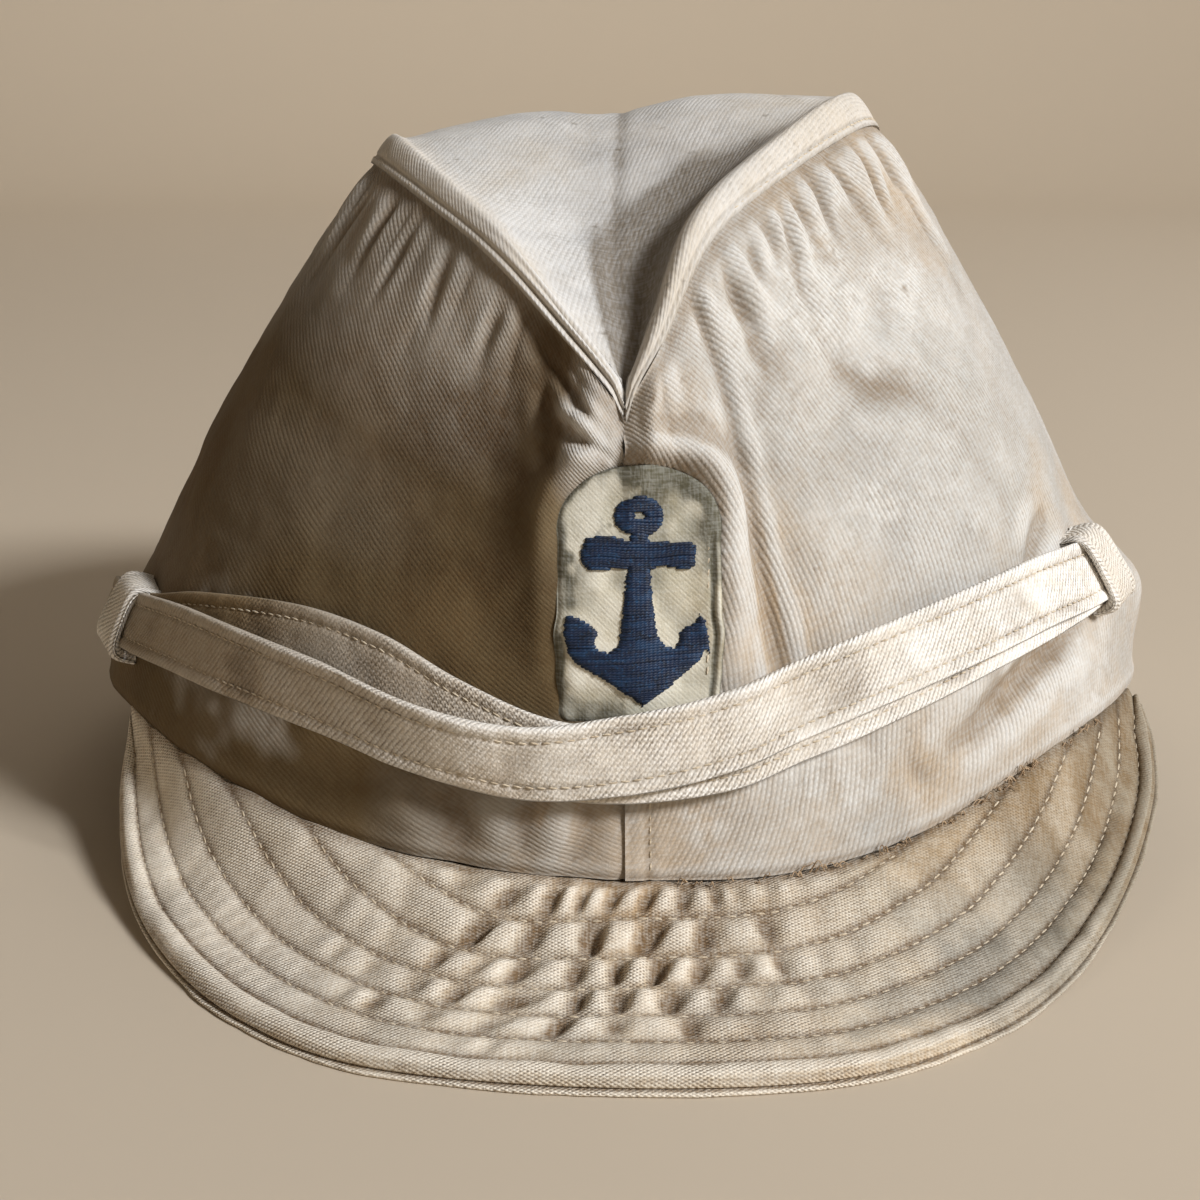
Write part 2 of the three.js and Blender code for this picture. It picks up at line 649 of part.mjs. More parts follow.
function patch() {
  const rows = 14;
  const outer = [];
  const inner = [];
  for (let i = 0; i < rows; i += 1) {
    const share = Math.sin((i / (rows - 1)) * 0.48 * Math.PI) / Math.sin(0.48 * Math.PI);
    const height = THREE.MathUtils.lerp(PATCH_BOTTOM, PATCH_TOP - 0.12, share);
    const half = patchHalfWidth(height);
    const columns = [-1, -0.75, -0.5, -0.25, 0, 0.25, 0.5, 0.75, 1];
    const at = (off) => columns.map((c) => frontPoint(PATCH_X + c * half, height, off));
    outer.push(at(PATCH_OFF + PATCH_CLOTH));
    inner.push(at(PATCH_OFF));
  }
  return mesh("badge_patch", sheetSolid(outer, inner), PATCH_GREEN);
}

// The outline of the anchor in its own plane, right half and mirrored left half joined by the ring
function anchorShape() {
  const shape = new THREE.Shape();
  const right = ANCHOR_SIDE;
  shape.moveTo(right[0].x, right[0].z);
  right.slice(1).forEach((p) => shape.lineTo(p.x, p.z));
  shape.lineTo(0, ANCHOR_POINT_Z);
  [...right].reverse().forEach((p) => shape.lineTo(-p.x, p.z));
  const steps = 14;
  const start = Math.asin(right[0].x / RING_HALF_WIDTH);
  for (let i = 0; i <= steps; i += 1) {
    const turn = start + (i / steps) * 2 * (Math.PI - start);
    const x = -RING_HALF_WIDTH * Math.sin(turn);
    const z = RING_Z - RING_HALF_HEIGHT * Math.cos(turn);
    if (i > 0 && i < steps) shape.lineTo(x, z);
  }
  const corners = [...Array(RING_HOLE_SIDES).keys()].map((i) => {
    const turn = (2 * Math.PI * i) / RING_HOLE_SIDES;
    return new THREE.Vector2(RING_HOLE * Math.cos(turn), RING_Z + RING_HOLE * Math.sin(turn));
  });
  shape.holes.push(new THREE.Path(corners));
  return shape;
}

function anchor() {
  const settings = { depth: 1, bevelEnabled: false, curveSegments: 8, steps: 1 };
  const cut = new THREE.ExtrudeGeometry(anchorShape(), settings);
  const geometry = new TessellateModifier(ANCHOR_LONGEST_EDGE, 8).modify(cut);
  const place = geometry.getAttribute("position");
  for (let k = 0; k < place.count; k += 1) {
    const off = ANCHOR_OFF + place.getZ(k) * ANCHOR_CLOTH;
    const point = frontPoint(ANCHOR_X + place.getX(k), place.getY(k), off);
    place.setXYZ(k, point.x, point.y, point.z);
  }
  geometry.computeVertexNormals();
  return mesh("anchor", geometry, NAVY);
}

function fieldCap() {
  const cap = new THREE.Group();
  cap.add(sidePanel(LEFT), sidePanel(RIGHT), topPanel(), peak());
  cap.add(strap("strap_front", STRAP_FRONT), strap("strap_back", STRAP_BACK));
  KEEPERS.forEach((row) => cap.add(keeper(row)));
  cap.add(patch(), anchor());
  return cap;
}

export default fieldCap();
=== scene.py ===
"""A worn cotton field cap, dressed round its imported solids.

The tables and sizes are millimetres in the crown's own frame: the middle of the rim at the origin, the
peak towards -Y, left (-X) and right (+X) as someone who faces the badge sees them, the table top at
height 0. Fabric.place() turns them into metres in the part's frame.
"""

import logging
import math
from collections.abc import Iterator, Sequence
from dataclasses import dataclass, field
from enum import Enum

import bpy
import numpy as np
from numpy.typing import NDArray
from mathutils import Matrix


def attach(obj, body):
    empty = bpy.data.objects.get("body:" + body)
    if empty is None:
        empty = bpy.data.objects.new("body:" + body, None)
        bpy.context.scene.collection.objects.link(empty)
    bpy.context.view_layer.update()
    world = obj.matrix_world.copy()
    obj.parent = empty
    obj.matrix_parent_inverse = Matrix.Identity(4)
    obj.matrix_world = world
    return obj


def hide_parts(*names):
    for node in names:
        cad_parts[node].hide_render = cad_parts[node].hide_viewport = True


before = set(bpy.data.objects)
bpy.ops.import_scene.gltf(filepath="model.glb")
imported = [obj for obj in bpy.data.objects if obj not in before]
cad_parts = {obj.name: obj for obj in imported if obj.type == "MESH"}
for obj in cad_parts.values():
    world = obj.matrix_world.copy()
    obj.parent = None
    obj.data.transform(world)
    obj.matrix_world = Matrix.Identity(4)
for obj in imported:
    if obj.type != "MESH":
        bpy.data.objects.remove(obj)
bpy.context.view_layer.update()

Array = NDArray[np.float64]
Faces = NDArray[np.int64]
Point = tuple[float, float, float]
Screen = tuple[int, int, int]
Paint = tuple[float, float, float, float]

MM = 0.001
CENTRE_BACK = 19.8
log = logging.getLogger("field_cap")


class Side(Enum):
    """A half of the cap, as someone who faces the badge sees it."""

    LEFT = -1
    RIGHT = 1


class Table:
    """Named columns over a place, read as one smooth line."""

    def __init__(self, columns: str, rows: Sequence[Sequence[float]]) -> None:
        """Keeps the columns.

        Args:
            columns: their names, parted by spaces; the first is the place.
            rows: one row of numbers for each place, in rising order where the table is read between.
        """
        self.names = columns.split()
        self.values = np.array(rows, float)

    def __getitem__(self, name: str) -> Array:
        """One column as it stands in the table."""
        return self.values[:, self.names.index(name)]

    def at(self, name: str, place: Array) -> Array:
        """Reads a column between its rows.

        Args:
            name: the column.
            place: where to read it.

        Returns:
            Cubic Hermite values: each row's slope is that of the line from the row before it to the
            row after it.
        """
        x, value = self.values[:, 0], self[name]
        rows = np.arange(len(x))
        before, after = np.maximum(rows - 1, 0), np.minimum(rows + 1, len(x) - 1)
        slope = (value[after] - value[before]) / (x[after] - x[before])
        row = np.clip(np.searchsorted(x, place, side="right") - 1, 0, len(x) - 2)
        span = x[row + 1] - x[row]
        s = held((place - x[row]) / span)
        leave = s * (1 - s) ** 2 * span * slope[row]
        arrive = s * s * (s - 1) * span * slope[row + 1]
        return value[row] + (value[row + 1] - value[row]) * (s * s * (3 - 2 * s)) + leave + arrive

    def points(self, place: Array) -> Array:
        """Reads the columns x, y and z as points."""
        return np.stack([self.at(axis, place) for axis in "xyz"], -1)


def held(values: Array) -> Array:
    """The values held to 0 to 1."""
    return np.clip(values, 0, 1)


def ramp(values: Array, start: float | Array, span: float | Array) -> Array:
    """0 at start and 1 at start + span, straight between and held beyond; span may be minus."""
    return held((values - start) / span)


def lerp(a: Array | float, b: Array | float, share: Array | float) -> Array:
    """The mix of a and b at a share of the way."""
    return a + (b - a) * share


def beside(*values: Array | float) -> Array:
    """The values side by side as the last axis, spread to one shape."""
    return np.stack(np.broadcast_arrays(*values), -1)


def unit(vectors: Array) -> Array:
    """The vectors at length one."""
    return vectors / np.maximum(np.linalg.norm(vectors, axis=-1, keepdims=True), 1e-9)


def travel(points: Array, axis: int = 0) -> Array:
    """Distance travelled through points along an axis, from 0 at the first."""
    steps = np.diff(points, axis=axis, prepend=points.take([0], axis))
    return np.cumsum(np.linalg.norm(steps, axis=-1), axis)


def hump(distance: Array, half: float) -> Array:
    """A smooth hump of height 1: exp(-(distance / half) squared)."""
    return np.exp(-((distance / half) ** 2))


def roughen(a: Array, b: Array, cell: float, seed: int) -> Array:
    """Smooth seeded noise over two lengths.

    Args:
        a: first length, in millimetres.
        b: second length.
        cell: size of a lattice cell.
        seed: which noise.

    Returns:
        Values of about -1 to 1: random lattice values joined by a fifth-degree blend.
    """
    size = 64
    lattice = np.random.default_rng(seed).uniform(-1, 1, (size, size))
    a, b = np.broadcast_arrays(a / cell + 1000.0, b / cell + 1000.0)
    i, j = np.floor(a).astype(int), np.floor(b).astype(int)
    s, t = (r**3 * (r * (6 * r - 15) + 10) for r in (a - i, b - j))
    low, high = (lerp(lattice[i % size, k % size], lattice[(i + 1) % size, k % size], s) for k in (j, j + 1))
    return lerp(low, high, t)


def rough(a: Array, b: Array, *layers: tuple[float, float, int]) -> Array:
    """The sum of layers of noise, each a height, a cell and a seed."""
    return sum(height * roughen(a, b, cell, seed) for height, cell, seed in layers)


def spots(distances: Array, much: Array, ragged: Array) -> Array:
    """Soft round spots with ragged edges.

    Args:
        distances: for each spot, how many of its own sizes away every point is.
        much: the strength of each spot.
        ragged: noise that breaks up their edges.

    Returns:
        The sum of much times (1.25 - distance + ragged held to 0 to 1), itself held to 0 to 1.
    """
    strength = much.reshape((-1,) + (1,) * (distances.ndim - 1))
    return held(np.sum(strength * held(1.25 - distances + ragged), 0))


def blur(values: Array, reach: int) -> Array:
    """A grid smoothed by a running mean over 2 * reach + 1 rows and columns."""
    width = 2 * reach + 1
    for axis in (0, 1):
        before = np.repeat(values.take([0], axis), reach + 1, axis)
        after = np.repeat(values.take([-1], axis), reach, axis)
        padded = np.concatenate([before, values, after], axis)
        total, row = np.cumsum(padded, axis), np.arange(values.shape[axis])
        values = (total.take(row + width, axis) - total.take(row, axis)) / width
    return values


# The crown's form

RIM_HEIGHTS = Table("at left right", [
    (0.0, 11.6, 11.6), (0.085, 12.9, 11.5), (0.15, 14.6, 14.3), (0.25, 19.2, 21.6), (0.345, 21.2, 22.4),
    (0.43, 17.6, 19.2), (0.52, 12.5, 14.0), (0.65, 6.5, 7.0), (0.78, 2.0, 2.2), (0.88, 0.0, 0.0),
    (1.0, 0.0, 0.0)])
SEAMS = {
    Side.LEFT: Table("at x y z", [
        (0.0, -0.6, -79.5, 78.0), (0.06, -8.0, -74.0, 86.0), (0.15, -19.8, -62.0, 97.8),
        (0.25, -31.0, -45.0, 105.3), (0.36, -40.6, -24.0, 110.2), (0.5, -43.5, 3.0, 109.0),
        (0.65, -39.0, 29.0, 103.0), (0.82, -24.0, 56.0, 91.0), (1.0, 0.0, 76.0, 74.0)]),
    Side.RIGHT: Table("at x y z", [
        (0.0, -0.6, -79.5, 78.0), (0.06, 4.4, -75.0, 86.6), (0.15, 12.0, -63.0, 101.2),
        (0.25, 26.0, -45.0, 111.2), (0.36, 38.6, -24.0, 117.0), (0.5, 44.5, 3.0, 115.0),
        (0.65, 40.0, 29.0, 107.0), (0.82, 25.0, 56.0, 92.5), (1.0, 0.0, 76.0, 74.0)]),
}
CREASE = Table("at x y z sag", [
    (0.0, 0.2, -79.3, 78.6, 0), (0.1, 0.6, -68.0, 88.5, 0.8), (0.22, -1.4, -50.0, 101.5, 1.2),
    (0.34, -3.4, -30.0, 115.0, -0.6), (0.42, -3.0, -14.0, 117.6, -1.6), (0.55, -1.5, 12.0, 113.0, 0.8),
    (0.7, 0.0, 37.0, 104.0, 1.2), (0.85, 0.0, 59.0, 91.0, 0.8), (1.0, 0.0, 75.5, 76.0, 0)])

# Gathers below the top seam: place along the seam, how far each stands out, how far it runs down
GATHERS = {
    Side.LEFT: Table("at out down", [
        (0.03, 0.5, 8), (0.06, 0.6, 9), (0.09, 0.5, 8), (0.12, 0.7, 9), (0.15, 0.6, 10), (0.18, 0.9, 11),
        (0.21, 0.7, 9), (0.24, 1.0, 12), (0.27, 0.8, 9), (0.3, 1.1, 12), (0.33, 0.9, 10), (0.36, 1.2, 12),
        (0.395, 1.0, 11), (0.43, 0.9, 10)]),
    Side.RIGHT: Table("at out down", [
        (0.03, 0.5, 7), (0.06, 0.9, 9), (0.09, 0.7, 8), (0.12, 1.2, 10), (0.15, 1.0, 9), (0.18, 1.8, 12),
        (0.21, 1.2, 9), (0.24, 1.7, 10), (0.27, 1.4, 9), (0.3, 1.7, 11), (0.33, 1.3, 10), (0.365, 2.0, 12),
        (0.4, 1.5, 11), (0.44, 1.1, 10)]),
}
REAR_GATHERS = Table("at out down", [(at, 0.9, 10) for at in np.linspace(0.485, 0.965, 11)])

# Soft folds and hollows: place round and up the panel, half sizes, lean from upright in degrees,
# height (minus for a hollow)
FOLDS = {
    Side.LEFT: Table("at up across along lean out", [
        (0.03, 0.93, 4, 9, -20, 1.6), (0.055, 0.62, 6, 14, 6, 1.4), (0.17, 0.6, 16, 22, -25, -1.8),
        (0.3, 0.45, 18, 20, 0, 1.2), (0.42, 0.1, 18, 9, 0, 2.4), (0.62, 0.55, 16, 26, 12, -1.6),
        (0.84, 0.4, 14, 22, -10, 1.2)]),
    Side.RIGHT: Table("at up across along lean out", [
        (0.03, 0.92, 4, 9, 22, 2.0), (0.07, 0.66, 4, 26, 4, 2.2), (0.105, 0.55, 5, 24, 6, -1.4),
        (0.2, 0.7, 13, 5, -25, -1.5), (0.27, 0.5, 18, 20, 10, 1.2), (0.42, 0.16, 16, 9, 0, 4.2),
        (0.64, 0.5, 18, 24, -12, -1.6), (0.85, 0.45, 14, 22, 8, 1.2)]),
}

# Crisp creases that lie on the soft folds, in the same columns; deep is the valley's depth
CREASES = {
    Side.LEFT: Table("at up across along lean deep", [
        (0.05, 0.968, 0.8, 9, 84, 0.5), (0.05, 0.932, 1.5, 9, 78, 1.4), (0.034, 0.868, 1.3, 5, -84, 2.0),
        (0.075, 0.87, 1.8, 7, 30, 0.8), (0.088, 0.08, 3.2, 6, 12, 1.0), (0.05, 0.1, 2.4, 5, -8, 0.9),
        (0.022, 0.1, 2.0, 6, -14, 0.9), (0.13, 0.9, 0.9, 4, -8, 0.6), (0.19, 0.9, 1.0, 5, 4, 0.7),
        (0.245, 0.9, 1.0, 6, -6, 0.8), (0.285, 0.91, 0.9, 4, 4, 0.6), (0.335, 0.89, 1.1, 6, -4, 0.8),
        (0.375, 0.9, 1.0, 4, 2, 0.6), (0.2, 0.5, 3.6, 14, -30, 0.25), (0.33, 0.62, 4.0, 16, 12, 0.25)]),
    Side.RIGHT: Table("at up across along lean deep", [
        (0.312, 0.918, 0.9, 4.5, 10, 1.6), (0.25, 0.933, 0.9, 4.2, 5, 1.6),
        (0.2275, 0.936, 0.7, 2.2, 0, 0.9), (0.206, 0.913, 0.8, 4.2, 16, 1.1),
        (0.1915, 0.932, 0.7, 2.2, -2, 0.8), (0.149, 0.885, 1.4, 5, -4, 2.1),
        (0.1435, 0.82, 1.2, 2.6, -5, 1.0), (0.172, 0.925, 0.7, 3, 6, 0.7), (0.28, 0.94, 0.7, 2.6, 2, 0.7),
        (0.345, 0.925, 0.8, 3.4, 8, 0.9), (0.385, 0.91, 0.8, 4.2, 6, 1.0), (0.11, 0.94, 0.8, 2.6, -10, 0.6),
        (0.22, 0.66, 2.6, 9, -37, 0.9), (0.101, 0.62, 1.3, 17, 5, 1.2), (0.094, 0.38, 1.6, 8, 0, 0.8),
        (0.129, 0.193, 2.4, 5, -40, 0.5), (0.16, 0.1, 2.0, 5, -30, 0.5), (0.205, 0.2, 2.2, 6, -50, 0.5),
        (0.3, 0.3, 2.6, 10, 30, 0.4), (0.26, 0.48, 3.0, 12, -20, 0.35), (0.288, 0.315, 2.0, 6, 62, 1.5)]),
}

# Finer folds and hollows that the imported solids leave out, in the columns of the folds
SWELLS = {
    Side.LEFT: Table("at up across along lean out", [
        (0.035, 0.86, 4.2, 12, -14, 1.6), (0.1, 0.74, 9, 20, -20, -1.7), (0.05, 0.1, 6, 8, 0, 0.7)]),
    Side.RIGHT: Table("at up across along lean out", [
        (0.035, 0.9, 5, 7, 20, 0.9), (0.08, 0.6, 3, 14, 4, 0.8), (0.4, 0.2, 12, 9, 0, 1.6),
        (0.25, 0.138, 3.0, 17, 82, -3.4)]),
}

# Tan stains, chalk and painted highlights, specks and painted shadows on the crown: place round and up, half
# size, strength
STAINS = {
    Side.LEFT: Table("at up size much", [
        (0.02, 0.1, 11, 0.6), (0.07, 0.06, 9, 0.4), (0.3, 0.97, 10, 0.4), (0.05, 0.8, 8, 0.4)]),
    Side.RIGHT: Table("at up size much", [
        (0.02, 0.06, 9, 0.6), (0.1, 0.03, 7, 0.5), (0.17, 0.05, 7, 0.4), (0.34, 0.95, 12, 0.6),
        (0.09, 0.42, 8, 0.6), (0.36, 0.25, 14, 0.6), (0.04, 0.75, 9, 0.4), (0.25, 0.97, 8, 0.4)]),
}
CHALK_AND_HIGHLIGHTS = {
    Side.LEFT: Table("at up size much", [
        (0.28, 0.17, 9, 0.9), (0.22, 0.14, 8, 0.8), (0.15, 0.85, 12, 0.3), (0.03, 0.88, 6, 0.9)]),
    Side.RIGHT: Table("at up size much", [
        (0.21, 0.86, 8, 0.9), (0.25, 0.78, 9, 0.8), (0.17, 0.72, 8, 0.7), (0.077, 0.623, 4, 1.0),
        (0.24, 0.55, 11, 0.6), (0.15, 0.5, 9, 0.5), (0.3, 0.1, 10, 0.7), (0.1, 0.16, 10, 0.9),
        (0.05, 0.14, 7, 0.8), (0.3, 0.7, 12, 0.5)]),
}
SPECKS_AND_SHADOWS = {
    Side.LEFT: Table("at up size much", [
        (0.2, 0.4, 0.5, 0.6), (0.12, 0.5, 0.4, 0.5), (0.1, 0.82, 8, 0.9), (0.083, 0.93, 5, 0.8),
        (0.048, 0.872, 1.6, 0.6), (0.033, 0.866, 1.4, 0.7), (0.018, 0.856, 1.4, 0.7),
        (0.06, 0.926, 1.8, 0.6), (0.046, 0.938, 1.4, 0.5), (0.13, 0.66, 14, 0.6), (0.06, 0.45, 9, 0.4)]),
    Side.RIGHT: Table("at up size much", [
        (0.033, 0.952, 1.0, 1.0), (0.279, 0.757, 0.6, 1.0), (0.275, 0.7, 0.35, 0.7),
        (0.16, 0.62, 0.35, 0.5), (0.13, 0.8, 0.3, 0.5), (0.29, 0.16, 4, 0.8), (0.268, 0.15, 4, 0.9),
        (0.245, 0.142, 4, 0.9), (0.222, 0.13, 4, 0.8), (0.2, 0.116, 4, 0.5), (0.012, 0.84, 4.5, 0.9),
        (0.2, 0.7, 4, 0.3), (0.218, 0.665, 4, 0.4), (0.236, 0.63, 4, 0.3), (0.168, 0.74, 5, 0.25),
        (0.149, 0.9, 1.2, 0.6), (0.149, 0.87, 1.4, 0.7), (0.1455, 0.835, 1.8, 0.7), (0.15, 0.8, 2.4, 0.4)]),
}


@dataclass(frozen=True)
class CrownForm:
    """The side of the crown as a surface over a place round it and a share of the way up it.

    Round runs from the front seam (0) to the back seam (1) on each side, up from the rim (0) to the
    seam with the top panel (1). Widths in the tables are along the cloth.
    """

    half_width: float = 96.0
    front: float = 92.5
    back: float = 90.0
    flare: float = 0.4
    long_low: float = 298.0
    long_high: float = 190.0
    tall_front: float = 72.0
    tall_side: float = 100.0
    gather_half: float = 0.011
    gather_swell: float = 3.2

    def rim(self, side: Side, around: Array) -> Array:
        """Points of the rim: an ellipse in plan, a little deeper in front than behind."""
        turn = around * math.pi
        depth = np.where(turn < math.pi / 2, self.front, self.back)
        height = np.maximum(RIM_HEIGHTS.at(side.name.lower(), around), 0)
        return np.stack([side.value * self.half_width * np.sin(turn), -depth * np.cos(turn), height], -1)

    def seam(self, side: Side, around: Array) -> Array:
        """Points of the seam between the side panel and the top panel."""
        return SEAMS[side].points(around)

    def wall(self, side: Side, around: Array, up: Array) -> Array:
        """Points of the plain wall: rim to seam, with the lean (1 - flare) up + flare up squared."""
        around, up = np.broadcast_arrays(around, up)
        rim, seam = self.rim(side, around), self.seam(side, around)
        points = lerp(rim, seam, ((1 - self.flare) * up + self.flare * up * up)[..., None])
        points[..., 2] = lerp(rim[..., 2], seam[..., 2], up)
        return points

    def normal(self, side: Side, around: Array, up: Array, step: float = 0.004) -> Array:
        """Outward directions of the plain wall, from differences across a step each way."""
        a, b = (self.wall(side, held(around + way), up) for way in (-step, step))
        c, d = (self.wall(side, around, held(up + way)) for way in (-step, step))
        return unit(np.cross(b - a, d - c) * side.value)

    def size(self, around: Array, up: Array) -> tuple[Array, Array]:
        """The cloth's length round and height there."""
        return (lerp(self.long_low, self.long_high, up),
                lerp(self.tall_front, self.tall_side, np.sin(around * math.pi)))

    def turned(self, rows: Table, around: Array, up: Array) -> Iterator[tuple[Array, Array, float, float]]:
        """For each row: distances across and along its leant ellipse, its height and its place."""
        long, tall = self.size(around, up)
        for at, level, across, along, lean, height in rows.values:
            x, z, turn = (around - at) * long, (up - level) * tall, math.radians(lean)
            yield ((x * math.cos(turn) - z * math.sin(turn)) / across,
                   (x * math.sin(turn) + z * math.cos(turn)) / along, height, at)

    def folds(self, rows: Table, around: Array, up: Array) -> Array:
        """The sum of a table's folds: height times exp(-s squared - t squared) in turned ellipses."""
        return sum(height * np.exp(-s * s - t * t) for s, t, height, _ in self.turned(rows, around, up))

    def creases(self, rows: Table, around: Array, up: Array) -> Array:
        """The sum of a table's creases: a valley exp(-|s| to the 1.5) between two low shoulders, all
        running out along it as exp(-t squared)."""
        out = 0.0
        for s, t, deep, at in self.turned(rows, around, up):
            s = s + 0.25 * np.sin(t * 2.3 + at * 90)
            valley = 0.6 * hump(s - 2.1, 1.3) + 0.35 * hump(s + 2.1, 1.3) - np.exp(-np.abs(s) ** 1.5)
            out = out + deep * valley * np.exp(-t * t)
        return out

    def spots(self, rows: Table, around: Array, up: Array, seed: int) -> Array:
        """A table's spots on the crown."""
        long, tall = self.size(around, up)
        distances = np.stack([np.hypot((around - at) * long, (up - level) * tall) / size
                              for at, level, size, _ in rows.values])
        ragged = rough(around * long, up * tall, (0.55, 9.0, seed), (0.35, 3.1, seed + 1))
        return spots(distances, rows["much"], ragged)

    def gathers(self, side: Side, around: Array, up: Array) -> Array:
        """Gathers: flat at the seam, full a few millimetres below it, then running out, with a
        narrow valley on one side."""
        below = np.maximum((1 - up) * self.size(around, up)[1] - 1.7, 0)
        swell = np.minimum(below / self.gather_swell, 1)
        out = 0.0
        for count, (at, height, down) in enumerate(np.vstack([GATHERS[side].values, REAR_GATHERS.values])):
            uneven = 1 + 0.45 * math.sin(2.4 * count)
            s = (around - at) / (self.gather_half * (1 + 0.2 * math.sin(3.7 * count)))
            fade = swell * hump(below, down * uneven)
            out = out + 0.6 * height * uneven * (np.exp(-s * s) - 0.6 * hump(s + 1.3, 0.3)) * fade
        return out

    def cloth(self, side: Side, around: Array, up: Array, off: Array | float = 0.0) -> Array:
        """Points of the softly folded wall, off millimetres out of it."""
        push = self.folds(FOLDS[side], around, up) + off
        return self.wall(side, around, up) + self.normal(side, around, up) * push[..., None]

    def on(self, place: Array, height: Array, off: Array | float = 0.0) -> Array:
        """Points off the crown at a signed place round it (minus to the left) and a height."""
        place, height, off = np.broadcast_arrays(place, height, off)
        points = np.zeros(place.shape + (3,))
        for side in Side:
            here = (place < 0) == (side is Side.LEFT)
            around = np.abs(place[here])
            foot, head = self.rim(side, around)[..., 2], self.seam(side, around)[..., 2]
            points[here] = self.cloth(side, around, (height[here] - foot) / (head - foot), off[here])
        return points

    def frame(self, place: Array, height: Array, step: float = 0.01) -> tuple[Array, Array, Array]:
        """The crown's directions at such places: round it, up it and out of it."""
        out = unit(self.on(place, height, 5.0) - self.on(place, height))
        around = self.on(place + step, height) - self.on(place - step, height)
        around = unit(around - out * np.sum(around * out, -1, keepdims=True))
        up = -np.cross(around, out)
        return around, unit(up * np.where(up[..., 2:] < 0, -1, 1)), out

    def face(self, x: Array, height: Array, off: Array | float) -> Array:
        """Points off the crown's front at a distance right of the middle, found by halving."""
        x, height = np.broadcast_arrays(x, height)
        low, high = np.full(x.shape, -0.2), np.full(x.shape, 0.2)
        for _ in range(24):
            middle = (low + high) / 2
            short = self.on(middle, height)[..., 0] < x
            low, high = np.where(short, middle, low), np.where(short, high, middle)
        return self.on((low + high) / 2, height, off)


# Meshes


@dataclass
class Fabric:
    """Points, faces and values on them, ready to become one mesh."""

    points: Array
    faces: list[Faces]
    uv: Array
    values: dict[str, Array] = field(default_factory=dict)

    def place(self) -> Array:
        """The points in metres in the part's frame."""
        return (self.points + np.array([0.0, CENTRE_BACK, 0.0])) * MM

    def outward(self) -> "Fabric":
        """Turns every face round if the closed mesh would be inside out."""
        volume = 0.0
        for face in self.faces:
            for k in range(1, face.shape[1] - 1):
                a, b, c = (self.points[face[:, i]] for i in (0, k, k + 1))
                volume += float(np.sum(a * np.cross(b, c)))
        if volume < 0:
            self.faces = [face[:, ::-1] for face in self.faces]
        return self

    def to_object(self, name: str) -> bpy.types.Object:
        """Makes the Blender object.

        Args:
            name: the piece's name.

        Returns:
            The linked object, at the origin, shaded smooth, with a UV map in metres of cloth and one
            point attribute for each entry of values.
        """
        mesh = bpy.data.meshes.new(name)
        corners = np.concatenate([face.ravel() for face in self.faces])
        totals = np.concatenate([np.full(len(face), face.shape[1]) for face in self.faces])
        mesh.vertices.add(len(self.points))
        mesh.vertices.foreach_set("co", self.place().astype(np.float32).ravel())
        mesh.loops.add(len(corners))
        mesh.loops.foreach_set("vertex_index", corners.astype(np.int32))
        mesh.polygons.add(len(totals))
        mesh.polygons.foreach_set("loop_start", (np.cumsum(totals) - totals).astype(np.int32))
        mesh.polygons.foreach_set("loop_total", totals.astype(np.int32))
        mesh.polygons.foreach_set("use_smooth", np.ones(len(totals), bool))
        mesh.update(calc_edges=True)
        layer = mesh.uv_layers.new(name="cloth")
        layer.data.foreach_set("uv", (self.uv[corners] * MM).astype(np.float32).ravel())
        for key, value in self.values.items():
            attribute = mesh.attributes.new(key, "FLOAT", "POINT")
            attribute.data.foreach_set("value", value.astype(np.float32).ravel())
        mesh.validate()
        return link(name, mesh)


def link(name: str, data: bpy.types.ID) -> bpy.types.Object:
    """A new object in the scene, holding the data."""
    made = bpy.data.objects.new(name, data)
    bpy.context.scene.collection.objects.link(made)
    return made


def grid_faces(rows: int, columns: int, closed: bool = False) -> Faces:
    """Four-sided faces of a grid of points, row after row; closed joins the last column to the first."""
    i, j = np.meshgrid(np.arange(rows - 1), np.arange(columns if closed else columns - 1), indexing="ij")
    here, right = i * columns, (j + 1) % columns
    return np.stack([here + j, here + columns + j, here + columns + right, here + right], -1).reshape(-1, 4)


def closed_sheet(outer: Array, inner: Array, uv: Array, **values: Array) -> Fabric:
    """A closed sheet between two matching grids.

    Args:
        outer: points of the outer face, rows by columns by 3.
        inner: points of the inner face.
        uv: place in the cloth of each point, rows by columns by 2.
        values: one value for each point of a face, used for both.

    Returns:
        The two faces joined along all four edges.
    """
    rows, width = outer.shape[:2]
    back = rows * width
    front = grid_faces(rows, width)
    index = np.arange(back).reshape(rows, width)
    edge = np.concatenate([index[:, 0], index[-1, 1:], index[-2::-1, -1], index[0, -2:0:-1]])
    following = np.roll(edge, -1)
    rim = np.stack([edge, edge + back, following + back, following], -1)
    both = {key: np.tile(value.ravel(), 2) for key, value in values.items()}
    faces = [np.vstack([front, front[:, ::-1] + back, rim[:, ::-1]])]
    points = np.vstack([outer.reshape(-1, 3), inner.reshape(-1, 3)])
    return Fabric(points, faces, np.tile(uv.reshape(-1, 2), (2, 1)), both).outward()


